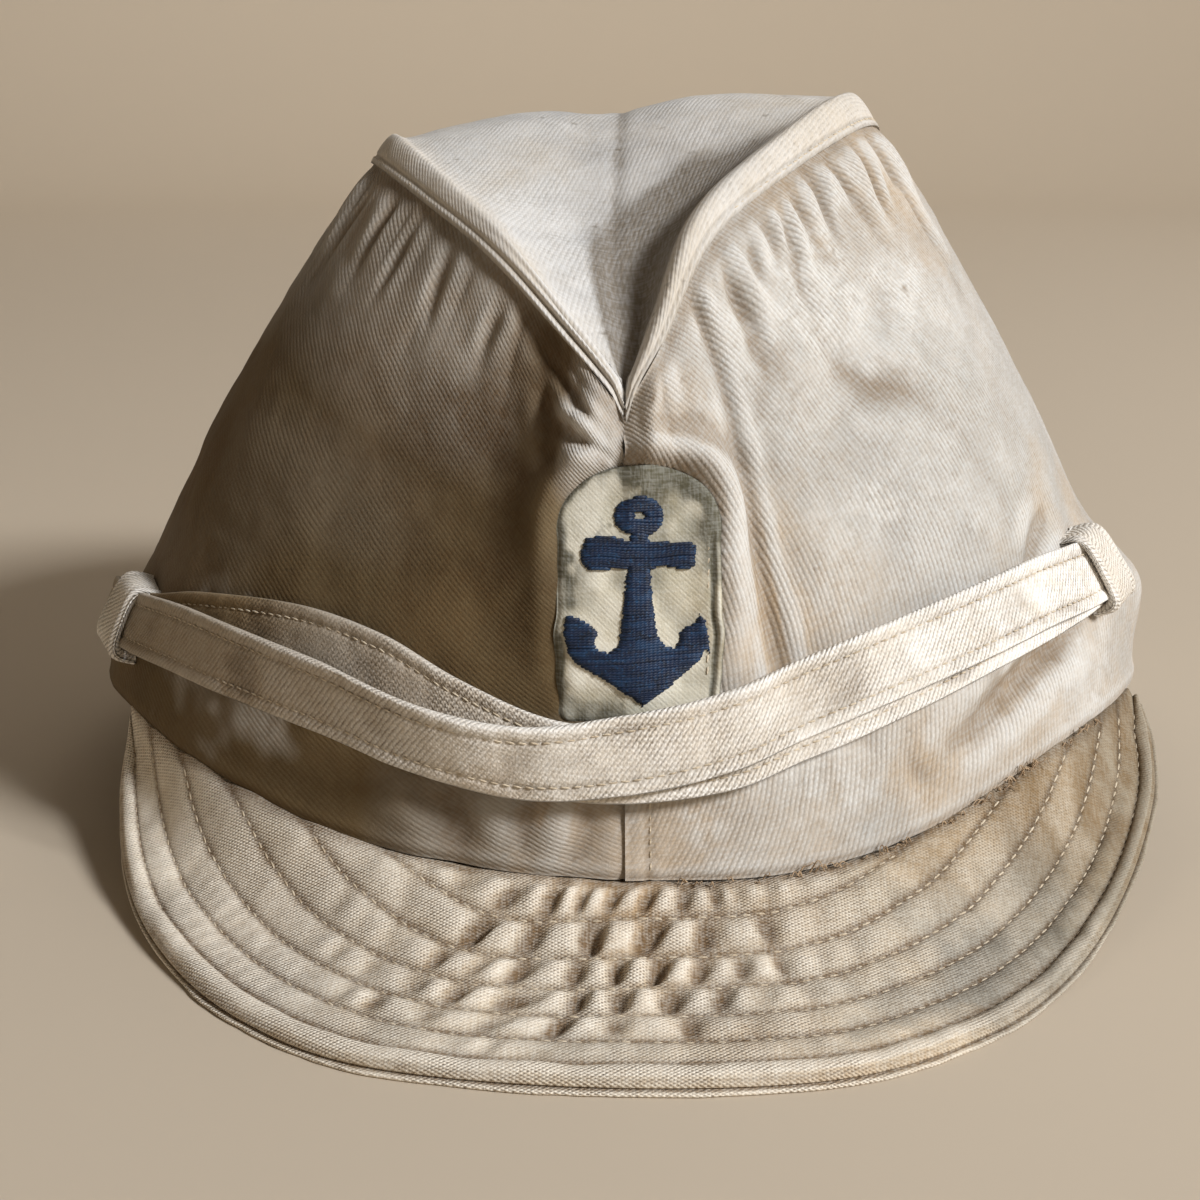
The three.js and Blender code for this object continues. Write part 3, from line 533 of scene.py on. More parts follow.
def closed_tube(sections: Array, uv: Array, **values: Array) -> Fabric:
    """A closed tube through sections that are rings of points.

    Args:
        sections: stations by ring points by 3.
        uv: place in the cloth of each point.
        values: one value for each point.

    Returns:
        The tube with a fan over each end.
    """
    stations, ring = sections.shape[:2]
    count, first = stations * ring, np.arange(ring)
    last = first + count - ring
    fans = np.vstack([beside(count, first, np.roll(first, -1)), beside(count + 1, np.roll(last, -1), last)])

    def with_ends(grid: Array, *shape: int) -> Array:
        """The grid's values in one line, then the mean of each end's."""
        return np.concatenate([grid.reshape(-1, *shape), grid[[0, -1]].mean(1)])

    more = {key: with_ends(value) for key, value in values.items()}
    faces = [grid_faces(stations, ring, closed=True), fans[:, ::-1]]
    return Fabric(with_ends(sections, 3), faces, with_ends(uv, 2), more).outward()


def join(parts: Sequence[Fabric]) -> Fabric:
    """Several fabrics as one, each still closed."""
    starts = np.cumsum([0] + [len(part.points) for part in parts[:-1]])
    sides = sorted({face.shape[1] for part in parts for face in part.faces})
    faces = [np.vstack([face + start for part, start in zip(parts, starts) for face in part.faces
                        if face.shape[1] == count]) for count in sides]
    values = {key: np.concatenate([part.values[key].ravel() for part in parts]) for key in parts[0].values}
    return Fabric(np.vstack([part.points for part in parts]), faces,
                  np.vstack([part.uv for part in parts]), values)


def read_line(points: Array, index: Array) -> Array:
    """Points of a line at decimal indices."""
    return np.stack([np.interp(index, np.arange(len(points)), points[:, k]) for k in range(3)], -1)


@dataclass(frozen=True)
class Thread:
    """Sewing thread laid down in stitches: each a bead that is long, round and pointed at its ends."""

    pitch: float
    length: float
    radius: float
    sunk: float = 0.05
    skew: float = 6.0
    sides: int = 6

    def sew(self, line: Array, out: Array, seed: int) -> Fabric:
        """One row of stitches.

        Args:
            line: points of the row.
            out: direction out of the cloth at each of them.
            seed: for the small unevenness of hand and machine.

        Returns:
            The stitches as one fabric. A stitch is an ellipsoid of three rings and two tips.
        """
        draw = np.random.default_rng(seed)
        run = travel(line)
        count = max(int(run[-1] / self.pitch), 2)
        distance = (np.arange(count) + 0.5) * run[-1] / count
        index = np.interp(distance, run, np.arange(len(line)))
        middle, reach = read_line(line, index), 0.35
        along = unit(read_line(line, np.minimum(index + reach, len(line) - 1))
                     - read_line(line, np.maximum(index - reach, 0)))
        normal = read_line(out, index)
        normal = unit(normal - along * np.sum(normal * along, -1, keepdims=True))
        across = np.cross(along, normal)
        turn = np.radians(self.skew + draw.normal(0, 2.5, count))[:, None]
        cos, sin = np.cos(turn), np.sin(turn)
        along, across = along * cos + across * sin, across * cos - along * sin
        angle = np.linspace(0, math.tau, self.sides, endpoint=False)
        rings = [(x, r * math.cos(a), r * math.sin(a))
                 for x, r in ((-0.36, 0.72), (0, 1), (0.36, 0.72)) for a in angle]
        shape = np.array([(-0.5, 0, -0.5), *rings, (0.5, 0, -0.5)])
        stretch = 1 + draw.normal(0, 0.05, (count, 1))
        middle = middle + normal * (-self.sunk + draw.normal(0, 0.02, (count, 1)))
        points = (middle[:, None] + along[:, None] * (shape[:, 0] * self.length * stretch)[..., None]
                  + across[:, None] * (shape[:, 1] * self.radius)[None, :, None]
                  + normal[:, None] * (shape[:, 2] * self.radius)[None, :, None])
        size, k = len(shape), np.arange(self.sides)
        n, far = (k + 1) % self.sides, size - 1 - self.sides
        ends = np.vstack([beside(0, 1 + n, 1 + k), beside(size - 1, far + k, far + n)])
        sides = np.vstack([beside(r + k, r + n, r + self.sides + n, r + self.sides + k)
                           for r in (1, 1 + self.sides)])
        start = (np.arange(count) * size)[:, None, None]
        faces = [(ends + start).reshape(-1, 3), (sides + start).reshape(-1, 4)]
        uv = beside(distance[:, None] + shape[:, 0] * self.length, shape[:, 1] * self.radius)
        tone = np.repeat(draw.uniform(-1, 1, count), size)
        return Fabric(points.reshape(-1, 3), faces, uv.reshape(-1, 2), {"crest": tone}).outward()


# Finishes


class Graph:
    """Builds shader nodes in a material or a node group."""

    def __init__(self, tree: bpy.types.NodeTree) -> None:
        """Keeps the tree to build in."""
        self.tree = tree

    def add(self, kind: str, inputs: dict[str | int, object] | None = None,
            **settings: object) -> bpy.types.Node:
        """Adds a node.

        Args:
            kind: its type's name.
            inputs: values or sockets for its inputs, by name or number.
            settings: its own properties.

        Returns:
            The node.
        """
        node = self.tree.nodes.new(kind)
        for key, value in settings.items():
            setattr(node, key, value)
        for key, value in (inputs or {}).items():
            self.put(node.inputs[key], value)
        return node

    def put(self, socket: bpy.types.NodeSocket, value: object) -> None:
        """Links a socket into an input, or sets its value."""
        if isinstance(value, bpy.types.NodeSocket):
            self.tree.links.new(value, socket)
        else:
            socket.default_value = value

    def math(self, operation: str, a: object, b: object = 0.0, c: object = 0.0) -> bpy.types.NodeSocket:
        """The result of a Math node."""
        return self.add("ShaderNodeMath", {0: a, 1: b, 2: c}, operation=operation).outputs[0]

    def times(self, a: object, b: object) -> bpy.types.NodeSocket:
        """a times b."""
        return self.math("MULTIPLY", a, b)

    def plus(self, a: object, b: object) -> bpy.types.NodeSocket:
        """a plus b."""
        return self.math("ADD", a, b)

    def minus(self, a: object, b: object) -> bpy.types.NodeSocket:
        """a minus b."""
        return self.math("SUBTRACT", a, b)

    def wave(self, turns: object, kind: str = "COSINE") -> bpy.types.NodeSocket:
        """0.5 + 0.5 times the cosine or sine of a number of turns."""
        return self.math("MULTIPLY_ADD", self.math(kind, self.times(turns, math.tau)), 0.5, 0.5)

    def mix(self, share: object, a: object, b: object, blend: str = "MIX") -> bpy.types.NodeSocket:
        """A mix of two colours."""
        return self.add("ShaderNodeMix", {0: share, 6: a, 7: b}, data_type="RGBA", blend_type=blend,
                        clamp_factor=True).outputs[2]

    def span(self, value: object, low: float, high: float, to_low: float = 0.0,
             to_high: float = 1.0) -> bpy.types.NodeSocket:
        """A value carried from one range to another with soft ends, and held inside it."""
        return self.add("ShaderNodeMapRange", {0: value, 1: low, 2: high, 3: to_low, 4: to_high},
                        interpolation_type="SMOOTHSTEP", clamp=True).outputs[0]

    def noise(self, place: object, scale: float, detail: float = 3.0,
              roughness: float = 0.55) -> bpy.types.NodeSocket:
        """Noise of about 0 to 1."""
        return self.add("ShaderNodeTexNoise", {"Vector": place, "Scale": scale, "Detail": detail,
                                               "Roughness": roughness}).outputs[0]

    def value(self, name: str) -> bpy.types.NodeSocket:
        """A value kept on the mesh's points."""
        return self.add("ShaderNodeAttribute", attribute_name=name).outputs["Fac"]

    def skin(self, colour: object, height: object, strength: float, depth: float,
             inputs: dict[str, float]) -> None:
        """Ends a material: a plain skin of the colour, bumped by a height of 0 to 1 times depth."""
        bump = self.add("ShaderNodeBump", {"Strength": strength, "Distance": depth, "Height": height})
        skin = self.add("ShaderNodeBsdfPrincipled",
                        {"Base Color": colour, **inputs, "Normal": bump.outputs[0]})
        self.add("ShaderNodeOutputMaterial", {"Surface": skin.outputs[0]})


def new_material(name: str) -> tuple[bpy.types.Material, Graph]:
    """An empty material and its graph."""
    made = bpy.data.materials.new(name)
    made.use_nodes = True
    made.node_tree.nodes.clear()
    return made, Graph(made.node_tree)


def new_group(name: str, inputs: dict[str, float | None],
              outputs: Sequence[str]) -> tuple[Graph, bpy.types.Node, bpy.types.Node]:
    """Starts a shader node group.

    Args:
        name: its name.
        inputs: the default of each input, or None for a vector.
        outputs: the name of each output.

    Returns:
        The group's graph, and its input and output nodes.
    """
    tree = bpy.data.node_groups.new(name, "ShaderNodeTree")
    for label, value in inputs.items():
        kind = "Vector" if value is None else "Float"
        socket = tree.interface.new_socket(label, in_out="INPUT", socket_type="NodeSocket" + kind)
        if value is not None:
            socket.default_value = value
    for label in outputs:
        tree.interface.new_socket(label, in_out="OUTPUT", socket_type="NodeSocketFloat")
    graph = Graph(tree)
    return graph, graph.add("NodeGroupInput"), graph.add("NodeGroupOutput")


def weave_group() -> bpy.types.NodeTree:
    """Woven cloth over a map in metres of cloth.

    Twill is ridges at Turn degrees, a Pitch apart: 0.5 + 0.5 cos(2 pi across / pitch), each broken into
    floats that step along from ridge to ridge. Plain weave is the board 0.5 + 0.5 cos(2 pi u / pitch)
    cos(2 pi v / pitch). Wobble bends the yarns; Plain mixes the two weaves. Slub is the unevenness of the
    yarns both ways: noise drawn out along each.

    Returns:
        The group, with outputs Height, Recess and Slub, all 0 to 1.
    """
    inputs = {"Vector": None, "Pitch": 0.0008, "Turn": 60.0, "Plain": 0.0, "Wobble": 0.25}
    g, given, result = new_group("weave", inputs, ("Height", "Recess", "Slub"))
    pitch, turn = given.outputs["Pitch"], g.math("RADIANS", given.outputs["Turn"])
    parts = g.add("ShaderNodeSeparateXYZ", {0: given.outputs["Vector"]}).outputs
    sway = g.times(g.minus(g.noise(given.outputs["Vector"], 260.0, 3.0), 0.5),
                   g.times(given.outputs["Wobble"], pitch))
    u, v = g.plus(parts[0], sway), g.minus(parts[1], sway)
    cosine, sine = g.math("COSINE", turn), g.math("SINE", turn)
    along = g.plus(g.times(u, cosine), g.times(v, sine))
    phase = g.math("DIVIDE", g.minus(g.times(v, cosine), g.times(u, sine)), pitch)
    ridge = g.wave(phase)
    floats = g.wave(g.plus(g.math("DIVIDE", along, g.times(pitch, 1.25)),
                           g.times(g.math("FLOOR", phase), 0.37)))
    twill = g.times(g.math("POWER", ridge, 0.7), g.math("MULTIPLY_ADD", floats, 0.55, 0.45))
    board = g.times(*(g.math("COSINE", g.times(g.math("DIVIDE", way, pitch), math.tau)) for way in (u, v)))
    plain = g.math("MULTIPLY_ADD", board, 0.5, 0.5)
    weave = g.add("ShaderNodeMix", {0: given.outputs["Plain"], 2: twill, 3: plain},
                  data_type="FLOAT").outputs[0]
    g.put(result.inputs["Height"], weave)
    g.put(result.inputs["Recess"], g.span(weave, 0.55, 0.05))
    yarns = []
    for long, short in ((u, v), (v, u)):
        place = g.add("ShaderNodeCombineXYZ", {0: g.times(long, 240.0), 1: g.math("DIVIDE", short, pitch)})
        yarns.append(g.noise(place.outputs[0], 1.7, 1.0))
    g.put(result.inputs["Slub"], g.span(g.times(g.plus(*yarns), 0.5), 0.36, 0.64))
    return g.tree


def soiling_group() -> bpy.types.NodeTree:
    """Patches and flecks of age over a place in metres.

    Returns:
        The group, with outputs Brown, Grey, Pale and Fleck, each a mask of 0 to 1: noise at four sizes,
        each cut to its upper part.
    """
    masks = {"Brown": (0.0, 22.0, 5.0, 0.42, 0.68), "Grey": (3.7, 31.0, 4.0, 0.42, 0.68),
             "Pale": (7.1, 46.0, 4.0, 0.42, 0.68), "Fleck": (1.3, 420.0, 2.0, 0.66, 0.8)}
    g, given, result = new_group("soiling", {"Vector": None, "Amount": 0.5}, tuple(masks))
    for name, (shift, scale, detail, low, high) in masks.items():
        moved = g.add("ShaderNodeVectorMath", {0: given.outputs["Vector"], 1: (shift, shift * 0.6, -shift)},
                      operation="ADD").outputs[0]
        value = g.noise(moved, scale, detail, 0.6)
        g.put(result.inputs[name], g.times(g.span(value, low, high), given.outputs["Amount"]))
    return g.tree


def linear(colour: Screen) -> Paint:
    """A screen colour of 0 to 255 as a linear colour."""
    values = np.array(colour) / 255
    red, green, blue = np.where(values <= 0.04045, values / 12.92, ((values + 0.055) / 1.055) ** 2.4).tolist()
    return red, green, blue, 1.0


@dataclass(frozen=True)
class Cotton:
    """A woven cotton finish.

    The colours are the clean cloth, its pale worn crests and painted highlights, the soil and painted
    shade in its creases and weave, and two stains; the last colour is what the cloth's colour is
    multiplied by where its darkening value lies: painted shade on the side turned from the light and on
    the straps, and a darker right end on the peak. Pitch is the weave's, in metres; crisp is how deep
    the weave reads, in metres.
    """

    name: str
    cloth: Screen
    worn_and_highlight: Screen
    soil: Screen
    brown: Screen
    grey: Screen
    turn: float
    # The last colour: multiplied in as painted shade on the panels and straps, and to darken the peak's right
    # end.
    tan: Paint = (0.27, 0.195, 0.1, 1.0)
    pitch: float = 0.0008
    plain: float = 0.0
    wobble: float = 0.5
    crisp: float = 0.00014
    lines: float = 0.55
    slubs: float = 0.25
    stains: float = 0.6
    roughness: float = 0.92
    sheen: float = 0.04

    def material(self, weave: bpy.types.NodeTree, soiling: bpy.types.NodeTree) -> bpy.types.Material:
        """Builds the material.

        Args:
            weave: the weave group.
            soiling: the soiling group.

        Returns:
            Cloth colour, mixed in turn with the stains, worn pale with painted highlights on crests,
            darkened with soil and painted shade in creases, darkened between yarns, and multiplied down
            where the darkening value lies, as painted shade on the shaded side; the weave and a fine nap
            make the bump.
        """
        made, g = new_material(self.name)
        worn_and_highlight, dirt_and_shade, brown, grey = (linear(colour) for colour in (self.worn_and_highlight, self.soil, self.brown, self.grey))
        place = g.add("ShaderNodeTexCoord").outputs["Object"]
        cloth_map = g.add("ShaderNodeUVMap", uv_map="cloth").outputs[0]
        crest, soil = g.value("crest"), g.value("soil")
        yarns = g.add("ShaderNodeGroup", node_tree=weave)
        for key, value in (("Vector", cloth_map), ("Pitch", self.pitch), ("Turn", self.turn),
                           ("Plain", self.plain), ("Wobble", self.wobble)):
            g.put(yarns.inputs[key], value)
        age = g.add("ShaderNodeGroup", node_tree=soiling)
        g.put(age.inputs["Vector"], place)
        g.put(age.inputs["Amount"], self.stains)
        marks = {name: g.value(name) for name in ("stain", "chalk", "grey")}
        colour = g.mix(age.outputs["Brown"], linear(self.cloth), brown)
        colour = g.mix(g.times(age.outputs["Grey"], 0.8), colour, grey)
        colour = g.mix(g.times(age.outputs["Pale"], 0.7), colour, worn_and_highlight)
        fray = g.span(g.noise(place, 320.0, 4.0, 0.7), 0.3, 0.62)
        # Painted shade: where this value lies the colour is multiplied down below and the weave is calmed.
        darkened_share = g.value("tan")
        calm = g.math("MULTIPLY_ADD", darkened_share, -0.6, 1.0)
        colour = g.mix(g.times(marks["stain"], 0.8), colour, brown)
        colour = g.mix(g.times(marks["grey"], 0.8), colour, grey)
        colour = g.mix(g.times(marks["chalk"], fray), colour, worn_and_highlight)
        # Pale on crests is wear and painted highlight; dark in creases and where the soil value lies is dirt
        # and painted shade.
        colour = g.mix(g.span(crest, 0.02, 0.9, 0.0, 0.75), colour, worn_and_highlight)
        colour = g.mix(g.span(crest, -0.05, -0.9, 0.0, 0.5), colour, dirt_and_shade)
        colour = g.mix(g.times(soil, 0.85), colour, dirt_and_shade)
        rubbed = g.span(g.noise(place, 75.0, 4.0, 0.6), 0.3, 0.62, 0.35, 1.0)
        faded = g.times(g.math("MULTIPLY_ADD", g.noise(place, 900.0, 2.0), 0.9, self.lines - 0.45), rubbed)
        recess = g.times(g.times(yarns.outputs["Recess"], faded), calm)
        slub = yarns.outputs["Slub"]
        colour = g.mix(g.times(slub, self.slubs), colour, worn_and_highlight)
        colour = g.mix(g.times(g.minus(1.0, slub), self.slubs * 0.6), colour, brown)
        colour = g.mix(recess, colour, dirt_and_shade)
        colour = g.mix(g.times(age.outputs["Fleck"], 0.5), colour, dirt_and_shade)
        # Painted shade on the side turned from the light, and a darker right end on the peak.
        colour = g.mix(darkened_share, colour, self.tan, "MULTIPLY")
        nap = g.noise(place, 2600.0, 3.0)
        height = g.plus(g.times(g.times(yarns.outputs["Height"], rubbed), calm), g.times(nap, 0.5))
        g.skin(colour, height, 0.9, self.crisp, {"Roughness": self.roughness, "Sheen Weight": self.sheen,
                                                 "Sheen Roughness": 0.5, "Specular IOR Level": 0.25})
        return made


@dataclass(frozen=True)
class Floss:
    """A thread finish: one colour with lighter and darker strands, and its slight shine."""

    name: str
    thread: Screen
    pale: Screen
    dark: Screen
    roughness: float = 0.7
    sheen: float = 0.2
    twist: float = 0.0006

    def material(self) -> bpy.types.Material:
        """Colour varies from strand to strand and along it; fine twisted plies make the bump."""
        made, g = new_material(self.name)
        pale, dark = linear(self.pale), linear(self.dark)
        place, tone = g.add("ShaderNodeTexCoord").outputs["Object"], g.value("crest")
        cloth_map = g.add("ShaderNodeUVMap", uv_map="cloth").outputs[0]
        across = g.add("ShaderNodeSeparateXYZ", {0: cloth_map}).outputs
        colour = g.mix(g.span(tone, 0.0, 1.0, 0.0, 0.3), linear(self.thread), pale)
        colour = g.mix(g.span(tone, 0.0, -1.0, 0.0, 0.4), colour, dark)
        colour = g.mix(g.span(g.noise(place, 900.0, 3.0), 0.5, 0.72, 0.0, 0.7), colour, dark)
        colour = g.mix(g.span(g.noise(place, 2300.0, 2.0), 0.54, 0.72, 0.0, 0.6), colour, pale)
        plies = g.wave(g.math("DIVIDE", g.plus(across[0], across[1]), self.twist), "SINE")
        g.skin(colour, plies, 0.7, 0.00005, {"Roughness": self.roughness, "Sheen Weight": self.sheen})
        return made


COTTONS = (
    Cotton("washed_twill", (176, 175, 171), (214, 214, 211), (118, 100, 78), (190, 166, 134), (178, 178, 176),
           turn=90.0, pitch=0.00074, lines=0.34, crisp=0.00015),
    Cotton("faded_twill", (204, 204, 202), (228, 228, 227), (84, 70, 48), (200, 190, 174), (168, 171, 175),
           turn=74.0, lines=0.12, crisp=0.00008, stains=0.9),
    Cotton("peak_canvas", (224, 210, 186), (244, 237, 223), (98, 74, 48), (176, 146, 106), (172, 172, 166),
           turn=56.0, tan=(0.46, 0.45, 0.42, 1.0), pitch=0.00068, plain=0.8, crisp=0.00026, lines=0.75,
           slubs=0.3),
    Cotton("strap_twill", (238, 234, 225), (253, 252, 248), (104, 86, 64), (200, 178, 147), (190, 190, 188),
           turn=54.0, pitch=0.00074, plain=0.25, lines=0.62, crisp=0.00028, stains=0.35),
    Cotton("badge_twill", (212, 209, 194), (234, 232, 220), (38, 43, 33), (172, 156, 120), (146, 154, 138),
           turn=-42.0, pitch=0.0006, plain=0.4, stains=0.75, lines=0.0, slubs=0.2, crisp=0.00006),
)
FLOSSES = (
    Floss("navy_floss", (4, 30, 62), (32, 76, 116), (2, 11, 25), roughness=0.6, sheen=0.03),
    Floss("frayed_thread", (176, 150, 118), (206, 184, 154), (112, 88, 62)),
    Floss("tan_thread", (204, 190, 166), (226, 215, 194), (156, 136, 108)),
)


def build_finishes() -> dict[str, bpy.types.Material]:
    """Every finish of the cap by its name, over two shared groups."""
    weave, soiling = weave_group(), soiling_group()
    made = {cotton.name: cotton.material(weave, soiling) for cotton in COTTONS}
    return made | {floss.name: floss.material() for floss in FLOSSES}


def dress(fabric: Fabric, name: str, finish: bpy.types.Material, slot: str, *nodes: str) -> None:
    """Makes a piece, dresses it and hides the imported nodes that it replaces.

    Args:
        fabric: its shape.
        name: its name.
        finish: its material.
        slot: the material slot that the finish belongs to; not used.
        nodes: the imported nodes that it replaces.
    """
    made = fabric.to_object(name)
    made.data.materials.append(finish)
    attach(made, "root")
    if nodes:
        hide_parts(*nodes)
    log.info("%s: %d faces", made.name, len(made.data.polygons))


# The pieces

# The peak: its outer edge, the share of the rim's height kept on the way out, each channel's pillows
# (length, and how far they swing), the section of its lip, and its marks
PEAK_EDGE = Table("at x y z", [
    (0.0, -84.2, -44.8, 18.6), (0.06, -83.4, -56.0, 10.5), (0.15, -77.0, -77.5, 4.2),
    (0.25, -66.0, -97.5, 1.9), (0.34, -52.0, -113.6, 1.5), (0.42, -34.0, -124.6, 1.5),
    (0.5, -4.0, -129.4, 1.5), (0.58, 26.0, -127.6, 1.5), (0.66, 46.6, -117.4, 1.5),
    (0.74, 61.4, -103.0, 1.9), (0.83, 75.0, -82.6, 4.4), (0.92, 86.5, -59.0, 10.2),
    (0.97, 89.6, -46.0, 16.0), (1.0, 89.2, -39.5, 20.4)])
PEAK_FALL = Table("at high", [
    (0.0, 1.0), (0.1, 0.84), (0.22, 0.55), (0.35, 0.3), (0.5, 0.13), (0.65, 0.06), (0.82, 0.02),
    (1.0, 0.0)])
CHANNELS = Table("channel length swing", [
    (-1, 9.0, 0.0), (0, 9.0, 0.35), (1, 8.6, 0.85), (2, 7.6, 1.15), (3, 7.2, 1.25), (4, 10.6, 1.6),
    (5, 7.0, 1.1)])
LIP = Table("in up", [
    (0.42, 0.5), (0.12, 0.24), (-0.02, -0.08), (0.04, -0.4), (0.22, -0.62), (0.62, -0.76), (0.6, -0.84),
    (0.1, -0.84), (-0.5, -0.88), (-0.7, -1.06), (-0.62, -1.34), (0.3, -1.5)])
PEAK_STAINS = Table("x y size much", [
    (-74, -70, 6, 0.4), (-60, -92, 8, 0.5), (-25, -104, 9, 0.5), (-9, -90, 13, 0.9), (4, -100, 9, 0.6),
    (22, -96, 9, 0.3), (58, -72, 11, 0.9), (74, -66, 11, 1.0), (82, -50, 11, 1.0), (44, -84, 8, 0.6)])
PEAK_GREYS = Table("x y size much", [
    (-45, -108, 9, 0.6), (-32, -118, 8, 0.5), (-5, -121, 10, 0.5), (12, -112, 8, 0.4), (38, -110, 11, 0.7),
    (50, -100, 12, 0.9), (64, -84, 9, 0.5)])

# The straps: signed place round the crown, height, distance off it, lean outwards in degrees, width
STRAP_FRONT = Table("at z off tip wide", [
    (-0.405, 32.8, 2.3, 0, 9.6), (-0.34, 35.0, 2.3, 0, 10.2), (-0.27, 36.6, 3.0, 6, 10.8),
    (-0.17, 35.0, 4.6, 16, 11.2), (-0.1, 31.2, 5.6, 24, 11.4), (-0.05, 29.6, 5.0, 18, 11.4),
    (0.0, 31.0, 3.6, 2, 11.6), (0.04, 32.8, 3.4, 0, 11.6), (0.14, 39.6, 2.6, 0, 11.4),
    (0.25, 44.6, 2.4, 0, 11.2), (0.32, 44.4, 2.3, 0, 11.0), (0.358, 43.4, 2.0, 0, 10.6)])
STRAP_BACK = Table("at z off tip wide", [
    (-0.415, 32.4, 0.6, 0, 9.6), (-0.34, 35.2, 0.6, 0, 10.2), (-0.28, 39.0, 0.6, 0, 10.6),
    (-0.2, 41.2, 0.8, 0, 10.8), (-0.14, 39.2, 1.2, 0, 11.0), (-0.09, 34.2, 1.8, 0, 11.2),
    (-0.04, 29.8, 1.8, 0, 11.2), (0.0, 29.2, 1.8, 0, 11.2), (0.05, 30.4, 1.8, 0, 11.2),
    (0.1, 33.6, 1.2, 0, 11.2), (0.16, 37.6, 0.7, 0, 11.2), (0.24, 42.0, 0.6, 0, 11.0),
    (0.32, 43.4, 0.6, 0, 11.0), (0.37, 42.6, 0.6, 0, 10.6)])

# The anchor below its ring: distance right of its middle, and height
ANCHOR = np.array([
    (1.2, 61.4), (1.4, 60.2), (4.5, 59.8), (7.1, 59.6), (7.8, 59.0), (7.7, 56.7), (7.0, 56.1), (5.6, 56.0),
    (3.2, 56.8), (1.5, 56.4), (1.8, 52.0), (2.2, 48.2), (2.8, 46.2), (3.8, 45.2), (5.0, 45.0), (5.6, 45.9),
    (5.6, 47.0), (6.8, 47.7), (7.9, 48.3), (8.5, 49.4), (9.2, 48.4), (9.6, 46.6), (10.0, 43.8), (9.2, 44.7),
    (8.4, 43.0), (6.6, 41.4), (3.8, 39.5), (1.8, 38.2), (0.5, 37.0), (-1.0, 38.6), (-3.4, 40.4),
    (-6.0, 42.0), (-8.4, 43.4), (-9.9, 44.9), (-10.4, 47.2), (-10.2, 50.0), (-8.6, 49.6), (-6.6, 48.6),
    (-5.6, 47.5), (-6.2, 46.4), (-5.6, 45.3), (-4.2, 45.0), (-3.0, 45.7), (-2.4, 48.0), (-2.0, 52.0),
    (-1.6, 56.6), (-4.2, 56.2), (-7.0, 56.2), (-7.9, 57.0), (-8.1, 58.6), (-7.4, 60.2), (-5.4, 60.7),
    (-3.2, 60.6), (-1.5, 60.0), (-1.2, 61.4)])

# Broken thread ends: share along the peak, how many, how long
FRAYS = Table("share count long", [
    (0.523, 3, 3.2), (0.545, 2, 2.2), (0.575, 2, 2.2), (0.603, 5, 4.6), (0.62, 3, 2.6), (0.65, 2, 2.0),
    (0.668, 3, 2.6), (0.69, 2, 2.2), (0.72, 3, 2.4), (0.75, 5, 3.6), (0.775, 3, 2.4), (0.8, 6, 4.6),
    (0.815, 3, 3.0), (0.85, 2, 2.0), (0.88, 4, 3.4), (0.9, 2, 2.4)])


